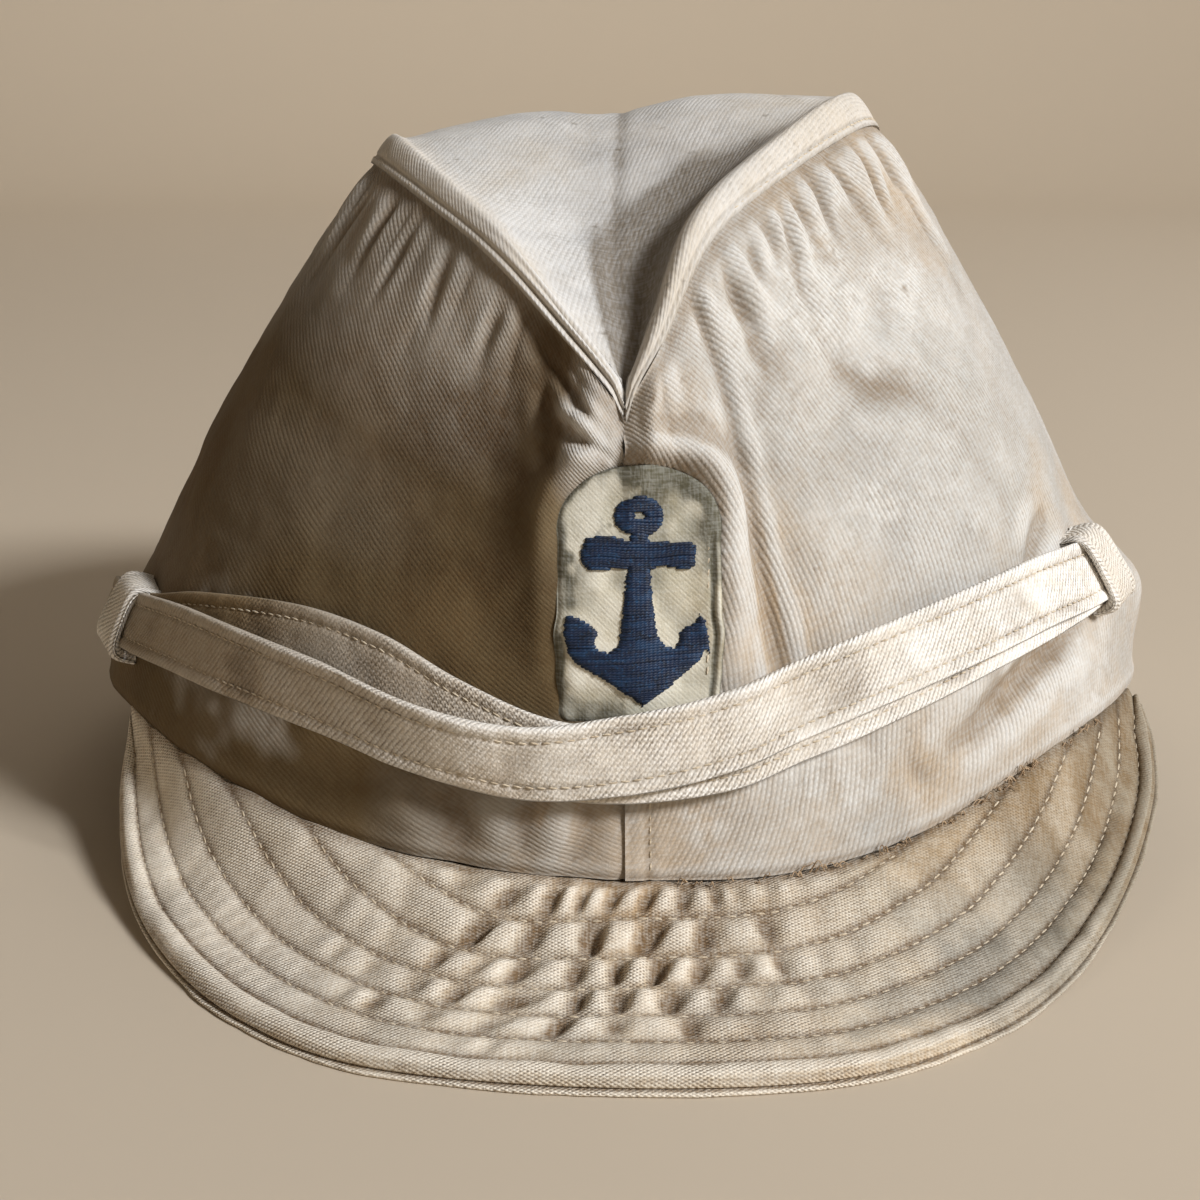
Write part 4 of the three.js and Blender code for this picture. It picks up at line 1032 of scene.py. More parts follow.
@dataclass(frozen=True)
class SidePanel:
    """A side of the crown: one gathered twill panel from the front seam to the back seam."""

    form: CrownForm
    side: Side
    cloth: float = 1.6
    seam_gap: float = 0.1
    columns: int = 381
    rows: int = 117
    patch_middle: float = 1.4
    stitch_row: float = 3.2
    lap_top: float = 0.36

    @property
    def name(self) -> str:
        """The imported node's name."""
        return "side_panel_" + self.side.name.lower()

    @property
    def lapped(self) -> bool:
        """Whether this is the right panel, which laps over the left one at the front seam."""
        return self.side is Side.RIGHT

    def relief(self, around: Array, up: Array) -> Array:
        """What stands out of the softly folded wall: gathers, creases, small unevenness, the rolled
        edges at the seams and the pull of their stitches."""
        form = self.form
        long, tall = form.size(around, up)
        x, to_back, below, above = around * long, (1 - around) * long, (1 - up) * tall, up * tall
        out = form.gathers(self.side, around, up) + form.creases(CREASES[self.side], around, up)
        out = out + form.folds(SWELLS[self.side], around, up) + self.round_badge(around, up)
        seed = 15 if self.lapped else 11
        uneven = rough(x, above, (0.42, 17.0, seed), (0.24, 7.0, seed + 1), (0.07, 2.6, seed + 2))
        out = out + (1 - hump(above, 4.0) * 0.7) * uneven - 0.25 * hump(below, 2.4)
        out = out - 0.5 * hump(to_back, 0.9) + 0.25 * hump(to_back - 2.0, 0.9)
        pucker = 0.5 + 0.5 * np.sin(above * 1.9 + 0.8 * roughen(x, above, 5.0, 14))
        if self.lapped:
            lap = ramp(up, 0.5, -0.1)
            out = out + lap * (0.4 * ramp(x, 4.6, -4.6) ** 0.5 - 0.32 * hump(x - self.stitch_row, 0.5))
            out = out + lap * 0.16 * pucker * hump(x - 4.6, 1.2) - (1 - lap) * 0.7 * hump(x, 1.2)
        else:
            out = out - 0.5 * hump(x, 1.6) + 0.15 * pucker * hump(x - 2.6, 1.4)
        out = out + 0.25 * hump(above - 1.6, 1.1) - 0.35 * hump(above, 0.7)
        inside = held(-self.from_badge(around, up) / 1.2)
        return out * (1 - inside) - 0.4 * inside

    def from_badge(self, around: Array, up: Array) -> Array:
        """Distance outside the patch's edge, minus inside it."""
        place = self.form.wall(self.side, around, up)
        x, above = place[..., 0] - self.patch_middle, place[..., 2] - 61.5
        outside = np.where(above > 0, np.hypot(x, above * 1.21), np.abs(x)) - 11.4
        return np.where(around < 0.25, np.maximum(outside, 35.5 - place[..., 2]), 99.0)

    def round_badge(self, around: Array, up: Array) -> Array:
        """The cloth's swell round the patch's arch, fullest over its right shoulder: a hump of the
        distance outside the patch."""
        place = self.form.wall(self.side, around, up)
        outside = self.from_badge(around, up)
        bearing = np.arctan2(place[..., 2] - 55.5, place[..., 0] - self.patch_middle)
        full = 0.5 + 2.0 * hump(bearing - 1.0, 0.8) + 1.1 * hump(bearing - 2.25, 0.5)
        valley = 0.8 * hump(outside - 7.2, 2.0) * hump(bearing - 0.75, 0.5)
        return (full * hump(outside - 2.4, 2.3) - valley) * ramp(place[..., 2], 36, 6)

    def build(self) -> Fabric:
        """The panel as a closed sheet: the outer face is the crown's form plus the relief, the inner
        face one cloth's thickness inside it."""
        form, side = self.form, self.side
        around, up = np.meshgrid(np.linspace(0, 1, self.columns), np.linspace(0, 1, self.rows), indexing="ij")
        relief = self.relief(around, up)
        outer = form.cloth(side, around, up, relief)
        clear = np.minimum(np.minimum(around / 0.03, (1 - around) / 0.03), 1)
        lap = -0.45 if self.lapped else 0.0
        outer[..., 0] += (1 - clear) ** 3 * np.where(around < 0.5, lap, side.value * self.seam_gap * 0.5)
        outer[:, 0, 2] = form.rim(side, around[:, 0])[:, 2]
        normal = form.normal(side, around, up)
        normal[..., 0] *= clear
        normal[:, 0, 2] = 0
        inner = outer - unit(normal) * self.cloth
        long, tall = form.size(around, up)
        x, above = around * long, up * tall
        crest = np.clip((relief - blur(relief, 5)) / 0.45, -1, 1) * (1 - 0.8 * hump(x - 1.5, 4.0))
        # Stains, specks with painted shadows in creases and hollows, and chalk with painted highlights.
        stain, specks_and_shadows, chalk = (form.spots(rows[side], around, up, seed)
                                for rows, seed in ((STAINS, 16), (SPECKS_AND_SHADOWS, 20), (CHALK_AND_HIGHLIGHTS, 18)))
        soil = 0.5 * hump((1 - up) * tall - 1.8, 1.2) + 0.35 * hump(above, 2.0) + 0.5 * hump(x, 1.0)
        if self.lapped:
            soil = soil + 0.45 * hump(x - self.stitch_row, 0.5) * (up < self.lap_top)
        # Painted shadow along the patch's upper arch, under the cloth that stands over it, deepest on the
        # lapped panel.
        shadow_over_badge = hump(self.from_badge(around, up) - 0.4, 1.6) * ramp(up, 0.68, 0.1)
        soil = held(soil + (0.9 if self.lapped else 0.2) * shadow_over_badge + specks_and_shadows)
        return closed_sheet(outer, inner, self.grain(around, up), crest=crest, soil=soil, stain=stain,
                            chalk=chalk, tan=self.tan(around, up, chalk))

    def tan(self, around: Array, up: Array, chalk: Array) -> Array:
        """How far the left panel is darkened as painted shade, the side turned from the light: fading out
        towards the back and in its upper part, and less at the lit foot by the seam, in the chalky patches
        and beside the notch."""
        long, tall = self.form.size(around, up)
        lit_foot = hump(around, 0.1) * ramp(up, 0.34, -0.2)
        uneven = 1.0 + 0.16 * roughen(around * long, up * tall, 24.0, 22)
        uneven = uneven - 0.6 * ramp(up, 0.64, 0.2) * ramp(around, 0.09, 0.06)
        darkened_share = held(ramp(around, 0.8, -0.4) * uneven * (1 - 0.75 * lit_foot) * (1 - 0.55 * chalk))
        beside_notch = ramp(around * long, 12.0, -3) * ramp(up, 0.72, 0.08)
        return darkened_share * (1 - 0.85 * beside_notch) * (not self.lapped)

    def grain(self, around: Array, up: Array) -> Array:
        """Place in the cloth with the twill's lines upright: leant 28 degrees below level on the left,
        and on the right bent from a forward lean at the rim to a backward one at the top, most of all
        beside the notch."""
        u, v = self.side.value * around * 240.0, up * 88.0
        if self.lapped:
            return beside(u - 88 * (0.45 * up - 0.55 * up * up - 0.05 * up**3 * hump(around, 0.12)), v)
        lean = math.radians(28)
        return beside(u * math.sin(lean) + v * math.cos(lean), v * math.sin(lean) - u * math.cos(lean))

    def seam_stitches(self, thread: Thread) -> list[Fabric]:
        """Rows of stitches beside the front seam (on the lapped right panel alone) and the back seam."""
        up = np.linspace(0.02, 0.97, 260)
        long = self.form.size(0 * up, up)[0]
        places = [(1 - 3.0 / long, 0.0, up < 1, 41)]
        if self.lapped:
            places.insert(0, (self.stitch_row / long, 0.12, up < self.lap_top, 31))
        rows = []
        for around, proud, kept, seed in places:
            line = self.form.cloth(self.side, around, up, self.relief(around, up) + proud)
            rows.append(thread.sew(line[kept], self.form.normal(self.side, around, up)[kept], seed))
        return rows


@dataclass(frozen=True)
class TopPanel:
    """The creased top: on each side a strip turned down over the ridge to the seam, and between the
    ridges the cloth sunk to a crease along the middle."""

    form: CrownForm
    cloth: float = 1.2
    wrap_corner: float = 6.2
    wrap_point: float = 2.8
    wrap_roll: float = 1.9
    narrow: float = 0.012
    lap: float = 1.9
    stations: int = 261
    across: int = 13

    def half(self, side: Side, around: Array) -> Array:
        """Seven points of half a section: up the strip, over the ridge, down towards the crease."""
        seam = self.form.seam(side, around)
        rise = unit(seam - self.form.wall(side, around, np.full_like(around, 0.96)))
        out = self.form.normal(side, around, np.ones_like(around))
        corner = np.sin(math.pi * np.minimum(around / 0.6, 1) * 0.5)
        pinch = self.pinch(around)
        wrap = lerp(self.wrap_point, self.wrap_corner, corner * np.minimum((1 - around) / 0.3, 1))
        wrap = wrap * lerp(0.2, 1.0, pinch)

        def strip(up: Array, off: float | Array) -> Array:
            """A point up the strip from the seam and out of it."""
            return seam + rise * up[..., None] + out * off

        ridge, crease = strip(wrap, -self.wrap_roll * pinch[:, None]), self.crease(around)
        sunk = CREASE.at("sag", around) + 2.0 * hump(around - 0.13, 0.09) * (side is Side.RIGHT)
        walls = []
        for share in (0.18, 0.42, 0.7):
            point = lerp(ridge, crease, share)
            point[..., 2] -= sunk * 4 * share * (1 - share)
            walls.append(point)
        lap = self.lap * (1.15 if side is Side.RIGHT else 0.7) * corner
        edge = strip(-0.1 - lap - 1.8 * hump(np.minimum(around, 1 - around), 0.008), 0.3)
        puffed, upper = strip(wrap * 0.4, 0.55 * pinch[:, None]), strip(wrap * 0.86, 0.0)
        return np.stack([edge, puffed, upper, ridge, *walls], 1)

    def crease(self, around: Array) -> Array:
        """Points of the crease, which runs from the head of the front seam to that of the back one."""
        heads = self.form.seam(Side.LEFT, np.round(around))
        return lerp(heads, CREASE.points(around), self.pinch(around)[:, None])

    def pinch(self, around: Array) -> Array:
        """How open the panel is: 0 at its two ends and 1 beyond the narrow part at each."""
        return held(np.minimum(around, 1 - around) / self.narrow) ** 0.6

    def build(self) -> Fabric:
        """The panel as a closed sheet: a smooth curve through each section's points, carried along
        the crease, then fine relief along its own normals."""
        around = np.linspace(0.001, 0.999, self.stations)
        left, right = self.half(Side.LEFT, around), self.half(Side.RIGHT, around)[:, ::-1]
        section = np.concatenate([left, self.crease(around)[:, None], right], 1)
        last = section.shape[1] - 1
        counts = [8 if k in (2, 11) else self.across for k in range(last)]
        fine = np.concatenate([k + np.arange(n) / n for k, n in enumerate(counts)] + [[last]])
        outer = self.through(section, fine)
        normal = self.normals(outer)
        width = travel(outer, 1)
        edge = np.minimum(width, width[:, -1:] - width)
        u, v = np.broadcast_arrays(width - width[:, -1:] / 2, travel(section[:, last // 2])[:, None])
        relief = rough(u, v, (0.28, 15.0, 21), (0.12, 6.0, 22), (0.04, 2.4, 23)) * np.clip(edge / 8, 0.15, 1)
        relief = relief + 0.16 * hump(edge - 0.7, 0.6) - 0.22 * hump(edge - 1.5, 0.4) - 0.3 * hump(u, 1.3)
        pleat = hump(around - 0.05, 0.07)[:, None] * (u < 0) * held(5.6 - edge)
        relief = relief - 0.4 * pleat * np.cos(edge * math.tau / 1.7)
        outer = outer + normal * relief[..., None]
        from_end = np.minimum(np.arange(self.stations) + 1, self.stations - np.arange(self.stations))
        inner = outer - self.normals(outer) * (self.cloth * np.minimum(from_end, 36) / 36)[:, None, None]
        ridges = np.minimum(np.abs(fine - 3), np.abs(fine - 11))
        # Painted highlight along the two ridges, added to the crest.
        crest = np.clip(np.clip((relief - blur(relief, 4)) / 0.3, -1, 1) + 0.3 * hump(ridges, 0.9), -1, 1)
        turned = ramp(np.minimum(fine, last - fine), 3.6, -0.8) * (0.75 + 0.25 * roughen(u, v, 8.0, 24))
        # Soil along the edges and the crease, and painted shadow on the notch's right wall.
        soil = held(0.5 * hump(edge, 0.7) + 0.25 * hump(u, 1.2) + self.shade(around, fine, u, v))
        return closed_sheet(outer, inner, beside(u, v), crest=crest, soil=soil, stain=turned)

    def shade(self, around: Array, fine: Array, u: Array, v: Array) -> Array:
        """Painted shadow on the right wall of the fold towards the notch, carried in the soil value: a dark
        part with a ragged edge, and a dull part of lighter painted shade beyond it."""
        around, across = around[:, None], fine[None, :]
        under = held((across - 4.9 - 6.0 * around) / 0.3) * ramp(across, 11.4, -0.6)
        reach = 0.215 + 0.07 * ramp(across, 6.2, 2.3) - around
        dull = ramp(across, 5.9, 0.8) * ramp(across, 10.4, -1.5) * ramp(around, 0.42, -0.2)
        return under * held((reach + 0.01 * roughen(u, v, 6.0, 26)) / 0.03) + 0.34 * dull

    def stitches(self, thread: Thread) -> list[Fabric]:
        """A row of stitches along the lower edge of each turned-down strip."""
        rows = []
        around = np.linspace(0.01, 0.985, 900)
        for count, side in enumerate(Side):
            line = self.through(self.half(side, around), np.array([0.3]))[:, 0]
            out = self.form.normal(side, around, np.ones_like(around))
            rows.append(thread.sew(line + out * 0.05, out, 25 + count))
        return rows

    def through(self, section: Array, fine: Array) -> Array:
        """Curves through each section's points: cubic Hermite over the chords' lengths, the slope at a
        point being that of the line between its neighbours.

        Args:
            section: the points of every section.
            fine: places along a section, counted in points.

        Returns:
            The points of every section at those places.
        """
        chord = np.maximum(np.linalg.norm(np.diff(section, axis=1), axis=-1, keepdims=True), 0.05)
        ends = np.diff(section, axis=1) / chord
        inner = (section[:, 2:] - section[:, :-2]) / (chord[:, 1:] + chord[:, :-1])
        slope = np.concatenate([ends[:, :1], inner, ends[:, -1:]], 1)
        row = np.clip(np.floor(fine).astype(int), 0, section.shape[1] - 2)
        s = (fine - row)[None, :, None]
        a, b, step = section[:, row], section[:, row + 1], chord[:, row]
        return (a + (b - a) * s * s * (3 - 2 * s)
                + step * (slope[:, row] * s * (1 - s) ** 2 - slope[:, row + 1] * s * s * (1 - s)))

    def normals(self, grid: Array) -> Array:
        """Outward directions of a grid from its neighbours' differences."""
        return unit(np.cross(np.gradient(grid, axis=1), np.gradient(grid, axis=0)))


@dataclass(frozen=True)
class Peak:
    """The quilted peak: rows of stitches at fixed distances from its outer edge, a channel puffed
    between each two, and a double lip along the edge."""

    form: CrownForm
    left_end: float = -0.335
    right_end: float = 0.362
    cloth: float = 2.2
    gap: float = 0.35
    tuck: float = 1.5
    puff: float = 0.75
    edge_row: float = 4.2
    spacing: float = 5.8
    rows: int = 6
    stations: int = 421
    columns: int = 120
    underside: int = 26

    def base(self, share: Array) -> tuple[Array, Array, Array]:
        """The seam point, the edge point and the width between them at shares along the peak."""
        place = lerp(self.left_end, self.right_end, share)
        left, right = (self.form.rim(side, np.abs(place)) for side in Side)
        rim = np.where((place < 0)[..., None], left, right)
        rim[..., 2] -= self.gap
        edge = PEAK_EDGE.points(share)
        return rim, edge, np.maximum(np.linalg.norm(edge - rim, axis=-1), 2 * self.edge_row)

    def run(self, share: Array) -> Array:
        """Distance along the peak from its middle, on the line seven tenths of the way out."""
        fine = np.linspace(0, 1, 400)
        rim, edge, _ = self.base(fine)
        length = travel(lerp(rim, edge, 0.7))
        return np.interp(share, fine, length - np.interp(0.5, fine, length))

    def quilt(self, run: Array, inward: Array, width: Array) -> Array:
        """Height of the quilting at a distance in from the edge.

        Each channel is puff times sin(pi f) to the 0.75 over its fraction f; on it lie pillows, the
        product of sin(pi f) to the 1.3 and a cosine along the channel, which are fullest about the
        peak's middle."""
        channel = (inward - self.edge_row) / self.spacing
        index, f = np.floor(channel), channel - np.floor(channel)
        arch, near_seam = np.abs(np.sin(math.pi * f)), held((width - inward) / 3.0)
        last = (index >= self.rows - 1) | (inward > width)
        puffed = np.where(last, np.minimum(arch**0.75, near_seam), arch**0.75)
        lip = np.abs(np.sin(math.pi * held(inward / self.edge_row))) ** 0.6
        length, swing = (np.interp(index, CHANNELS["channel"], CHANNELS[name])
                         for name in ("length", "swing"))
        bend = 0.07 * np.sin(math.pi * (f - 0.5)) * np.sin(run / 5.3 + index)
        beat = run / length + 0.37 * index + 0.4 * roughen(run, index * 9.0, 11.0, 51) + bend
        dent = (0.5 - 0.5 * np.cos(math.tau * beat)) ** (1.3 + 0.3 * np.sin(2.1 * index))
        middle = hump(run + 10.0, 34.0) * np.clip(1 + 0.6 * roughen(run, index * 9.0, 7.0, 52), 0.3, 2)
        small = np.sin(math.tau * run / 3.6 + 2.4 * roughen(run, index * 9.0, 8.0, 55))
        side = held(0.3 + roughen(run, index * 7.0, 19.0, 56))
        pillow = swing * middle * (0.55 - 1.95 * dent) + 0.07 * side * small
        tucks = np.minimum(arch, near_seam) ** 1.3 * pillow
        wavy = 0.5 * (0.5 + 0.5 * np.sin(math.tau * run / 12.5)) * hump(run + 14, 20.0)
        wavy = wavy + 0.5 * hump(run + 62, 50.0)
        return (np.where(inward < self.edge_row, (0.95 + wavy) * lip, self.puff * puffed + tucks)
                + rough(run, inward, (0.26, 10.0, 53), (0.14, 3.6, 54)))

    def level(self, rim: Array, edge: Array, out: Array) -> Array:
        """Height of the plain peak at shares of the way out."""
        return edge[..., 2] + (rim[..., 2] - edge[..., 2]) * PEAK_FALL.at("high", out)

    def top(self, share: Array, inward: Array) -> Array:
        """Points of the upper face at shares along the peak and distances in from its edge."""
        share, inward = np.broadcast_arrays(share, inward)
        rim, edge, width = self.base(share)
        out = 1 - inward / width
        points = lerp(rim, edge, out[..., None])
        points[..., 2] = self.level(rim, edge, out) + self.quilt(self.run(share), inward, width)
        return points

    def build(self) -> Fabric:
        """The peak as a closed tube: over the top from the tuck under the rim to the lip, round the two
        plies of the lip, and back along the flat underside."""
        share = np.linspace(0, 1, self.stations)
        rim, edge, width = (values[:, None] for values in self.base(share))
        run, nowhere = self.run(share), 0 * share
        inward = lerp(width, 0.9, np.linspace(0, 1, self.columns))
        top = self.top(share[:, None], inward)
        outward = unit((edge - rim) * [1, 1, 0])
        stray = 1 + rough(run, nowhere, (0.25, 9.0, 59), (0.12, 2.2, 60))
        full = (0.35 + 0.65 * ramp(share, 0.15, 0.2)) * stray
        inset = np.where(LIP["in"] < 0, full[:, None], 1) * LIP["in"]
        lip = edge - outward * inset[..., None]
        lip[..., 2] = edge[..., 2] + LIP["up"]
        under_in = 1.4 + np.linspace(0, 1, self.underside) * (width - 1.4)
        under = self.top(share[:, None], under_in)
        under[..., 2] = (self.level(rim, edge, 1 - under_in / width)
                         - np.minimum(self.cloth, 1.5 + under_in * 0.35))
        tuck = unit(-rim * [1, 1, 0]) * self.tuck + rim
        low = tuck - [0, 0, self.cloth]
        ring = np.concatenate([tuck, top, lip, under, low], 1)
        ring[..., 2] = np.maximum(ring[..., 2], 0)
        return closed_tube(ring, beside(0.72 * ring[..., 0], ring[..., 1] + ring[..., 2]),
                           **self.wear(run[:, None], inward, width, ring.shape[:2]), **self.marks(ring))

    def wear(self, run: Array, inward: Array, width: Array, shape: tuple[int, int]) -> dict[str, Array]:
        """Crests and soil: pale on pillows and lip with wear and painted highlight, and at the left end
        with painted light; dark in dents with dirt and painted shade, and along the rows.
        """
        lip, face = 1 + self.columns, slice(1, 1 + self.columns)
        height, soil = np.zeros(shape), np.zeros(shape)
        height[:, face] = self.quilt(run, inward, width)
        crest = np.clip((height - blur(height, 6)) / 0.9, -1, 1)
        # The lip and the band by the edge are pale with wear and painted highlight.
        crest[:, lip + 8:lip + 11] = 0.7
        crest[:, face] = np.clip(crest[:, face] + 0.55 * hump(inward - 1.7, 1.5), -1, 1)
        # Painted light: the left end made paler where the lamps leave it dim.
        crest[:, face] = np.clip(crest[:, face] + 0.7 * hump(run + 78, 50.0), -1, 1)
        channel = (inward - self.edge_row) / self.spacing
        on_row = (inward > self.edge_row - 1) & (channel < self.rows - 0.5)
        # Dents are darkened with dirt and painted shade.
        hollow = held((blur(height, 9) - height)[:, face] / 0.75) ** 1.3
        soil[:, lip + 4:lip + 8] = 0.9
        soil[:, face] = (0.25 * held(-crest[:, face]) + 1.25 * hollow + 0.8 * hump(width - inward, 1.3)
                         + 0.5 * hump(np.abs(channel - np.round(channel)) * self.spacing, 0.55) * on_row)
        return {"crest": crest, "soil": held(soil)}

    def marks(self, ring: Array) -> dict[str, Array]:
        """Stains and grey marks from their tables, darker towards the right end, and chalk colour as painted
        light towards the left end.
        """
        x, y = ring[..., 0], ring[..., 1]
        ragged = rough(x, y, (0.5, 10.0, 57), (0.4, 3.3, 58))
        # Darker towards the right end; chalk colour over the left end is painted light.
        marks = {"tan": held((x - 30) / 44 + 0.4 * ragged),
                 "chalk": held((-40 - x) / 25 + 0.5 * ragged) * 0.9}
        for name, rows in (("stain", PEAK_STAINS), ("grey", PEAK_GREYS)):
            distances = np.stack([np.hypot(x - at_x, (y - at_y) * 1.3) / size
                                  for at_x, at_y, size, _ in rows.values])
            marks[name] = spots(distances, rows["much"], ragged)
        return marks

    def stitches(self, thread: Thread) -> list[Fabric]:
        """The rows of stitches, each where the peak is wide enough for it."""
        rows = []
        share = np.linspace(0.004, 0.996, 1200)
        width = self.base(share)[2]
        for row in range(self.rows):
            inward = self.edge_row + row * self.spacing
            inside = np.nonzero(width > inward + 1.2)[0]
            line = self.top(share[inside[0]:inside[-1] + 1], inward)
            out = np.broadcast_to(np.array([0.0, -0.12, 1.0]), line.shape)
            rows.append(thread.sew(line + out * 0.06, out, 60 + row))
        return rows


@dataclass(frozen=True)
class Strap:
    """A chin strap: a folded twill band carried round the crown, thicker at its rolled edges and
    stitched along both of them."""

    form: CrownForm
    name: str
    rows: Table
    seed: int = 71
    shade: float = 0.65
    cloth: float = 1.3
    stations: int = 321
    across: int = 35
    behind: int = 12
    stitch_in: float = 2.2

    def path(self, stations: int) -> tuple[Array, Array, Array, Array, Array]:
        """Places along the strap, the middle line of its inner face, the directions up it and out of
        it, and its width."""
        place = np.linspace(self.rows["at"][0], self.rows["at"][-1], stations)
        height = self.rows.at("z", place)
        tip = np.radians(self.rows.at("tip", place))[:, None]
        around, up, out = self.form.frame(place, height)
        up = up * np.cos(tip) + out * np.sin(tip)
        face = unit(np.cross(around, up))
        face = face * np.sign(np.sum(face * out, -1, keepdims=True))
        middle = self.form.on(place, height, self.rows.at("off", place))
        return place, middle, up, face, self.rows.at("wide", place)

    def thickness(self, from_edge: Array | float) -> Array:
        """Height of the outer face at a distance from the edge: rolled edge, stitched groove, flat."""
        return self.cloth + 0.14 * hump(from_edge - 0.9, 0.8) - 0.18 * hump(from_edge - self.stitch_in, 0.42)

    def build(self) -> Fabric:
        """The strap as a closed tube: its section, an outer face with round edges and a flat inner
        face, carried along the path."""
        place, middle, up, face, wide = self.path(self.stations)
        place, wide, run = place[:, None], wide[:, None], travel(middle)[:, None]
        w = np.linspace(-0.5, 0.5, self.across) * (wide - 0.5)
        from_edge = wide / 2 - np.abs(w)
        relief = rough(run, w, (0.22, 7.0, self.seed), (0.08, 2.2, self.seed + 1))
        pull = 0.1 * np.sin(run * math.tau / 2.1) * hump(from_edge - self.stitch_in, 0.9)
        high = beside(wide / 2 + np.array([-0.06, 0.03, -0.06]), np.array([0.92, 0.55, 0.2]) * self.cloth)
        back = beside(np.linspace(0.5, -0.5, self.behind) * (wide - 0.5), 0.0)
        outer = beside(w, self.thickness(from_edge) + relief + pull)
        ring = np.concatenate([outer, high, back, high[:, ::-1] * [-1, 1]], 1)
        points = middle[:, None] + up[:, None] * ring[..., :1] + face[:, None] * ring[..., 1:]
        turn = travel(ring, 1)
        run, _ = np.broadcast_arrays(run, turn)
        crest, soil = np.zeros(turn.shape), np.zeros(turn.shape)
        front = slice(0, self.across)
        crest[:, front] = (0.75 * hump(from_edge - 0.35, 0.5) - 0.3 * hump(from_edge - self.stitch_in, 0.4)
                           + 3 * relief)
        crest[:, self.across:self.across + 3] = crest[:, -3:] = 0.6
        soil[:, front] = 0.2 * hump(from_edge - self.stitch_in, 0.45)
        dirty = 0.15 + 0.3 * roughen(run, turn, 14.0, self.seed + 3) - 0.9 * held(place / 0.25)
        dirty = dirty + 0.2 * hump(place, 0.09)
        # Painted shade over the left part, deeper on the back strap, which the front strap shades; chalk
        # colour towards the right end is a painted highlight.
        tan, chalk, _ = np.broadcast_arrays(self.shade * ramp(place, -0.04, -0.2),
                                            0.9 * ramp(place, 0.1, 0.14), turn)
        return closed_tube(points, beside(run, turn), crest=np.clip(crest, -1, 1), soil=soil,
                           stain=held(dirty), chalk=chalk, tan=tan)

    def stitches(self, thread: Thread) -> list[Fabric]:
        """A row of stitches along each edge."""
        _, middle, up, face, wide = self.path(900)
        middle = middle + face * (self.thickness(self.stitch_in) + 0.1)
        aside = up * (wide / 2 - self.stitch_in)[:, None]
        return [thread.sew(middle + sign * aside, face, seed)
                for sign, seed in ((-1, self.seed + 5), (1, self.seed + 6))]


@dataclass(frozen=True)
class Keeper:
    """A cloth band arched over the straps, both its feet on the crown."""

    form: CrownForm
    name: str
    at: float
    z: float
    turn: float
    tall: float
    skew: float = 0.0
    cloth: float = 1.0
    hug: float = 0.75
    width: float = 9.5
    depth: float = 5.2
    foot: float = 0.35
    square: float = 0.46
    rows: int = 97
    columns: int = 33

    def arch(self, inset: Array, end: Array) -> Array:
        """Points of the band: a squared arch, up = sin to the power square, out = cos to it, at shares
        end across the width."""
        at, z, step = np.array([self.at]), np.array([self.z]), 0.01
        around, up, _ = (v[0] for v in self.form.frame(at, z))
        turn = math.radians(self.turn)
        across = around * math.cos(turn) - up * math.sin(turn)
        rise = up * math.cos(turn) + around * math.sin(turn)
        angle = np.linspace(-0.5, 0.5, self.rows)[:, None] * math.pi
        bend = np.sign(angle) * np.abs(np.sin(angle)) ** self.square * (self.tall / 2 - inset)
        lift = np.maximum(np.cos(angle), 0) ** self.square * (self.depth - inset)
        aside = end * self.width - self.skew * bend
        long = np.linalg.norm(self.form.on(at + step, z) - self.form.on(at - step, z)) / (2 * step)
        place = self.at + (bend * np.dot(rise, around) + aside * np.dot(across, around)) / long
        height = self.z + bend * rise[2] + aside * across[2]
        return self.form.on(place, height, self.foot) + self.form.frame(place, height)[2] * lift[..., None]

    def build(self) -> Fabric:
        """The band as a closed sheet, thinned to round edges and dented by a row of stitches along
        each."""
        end = np.linspace(-0.5, 0.5, self.columns)[None, :]
        from_edge = (0.5 - np.abs(end)) * self.width
        dent = 0.45 * hump(from_edge, 0.35) + 0.16 * hump(from_edge - 1.9, 0.45)
        dent = dent - 0.1 * hump(from_edge - 0.9, 0.6)
        lining = self.cloth + self.hug * held(from_edge / 1.1) - 0.3 * hump(from_edge, 0.35)
        outer, inner = self.arch(dent, end), self.arch(lining, end)
        run = travel(outer)
        crest = np.broadcast_to(0.7 * hump(from_edge - 0.3, 0.5), run.shape)
        return closed_sheet(outer, inner, beside(run, end * self.width), crest=crest, soil=0 * run)


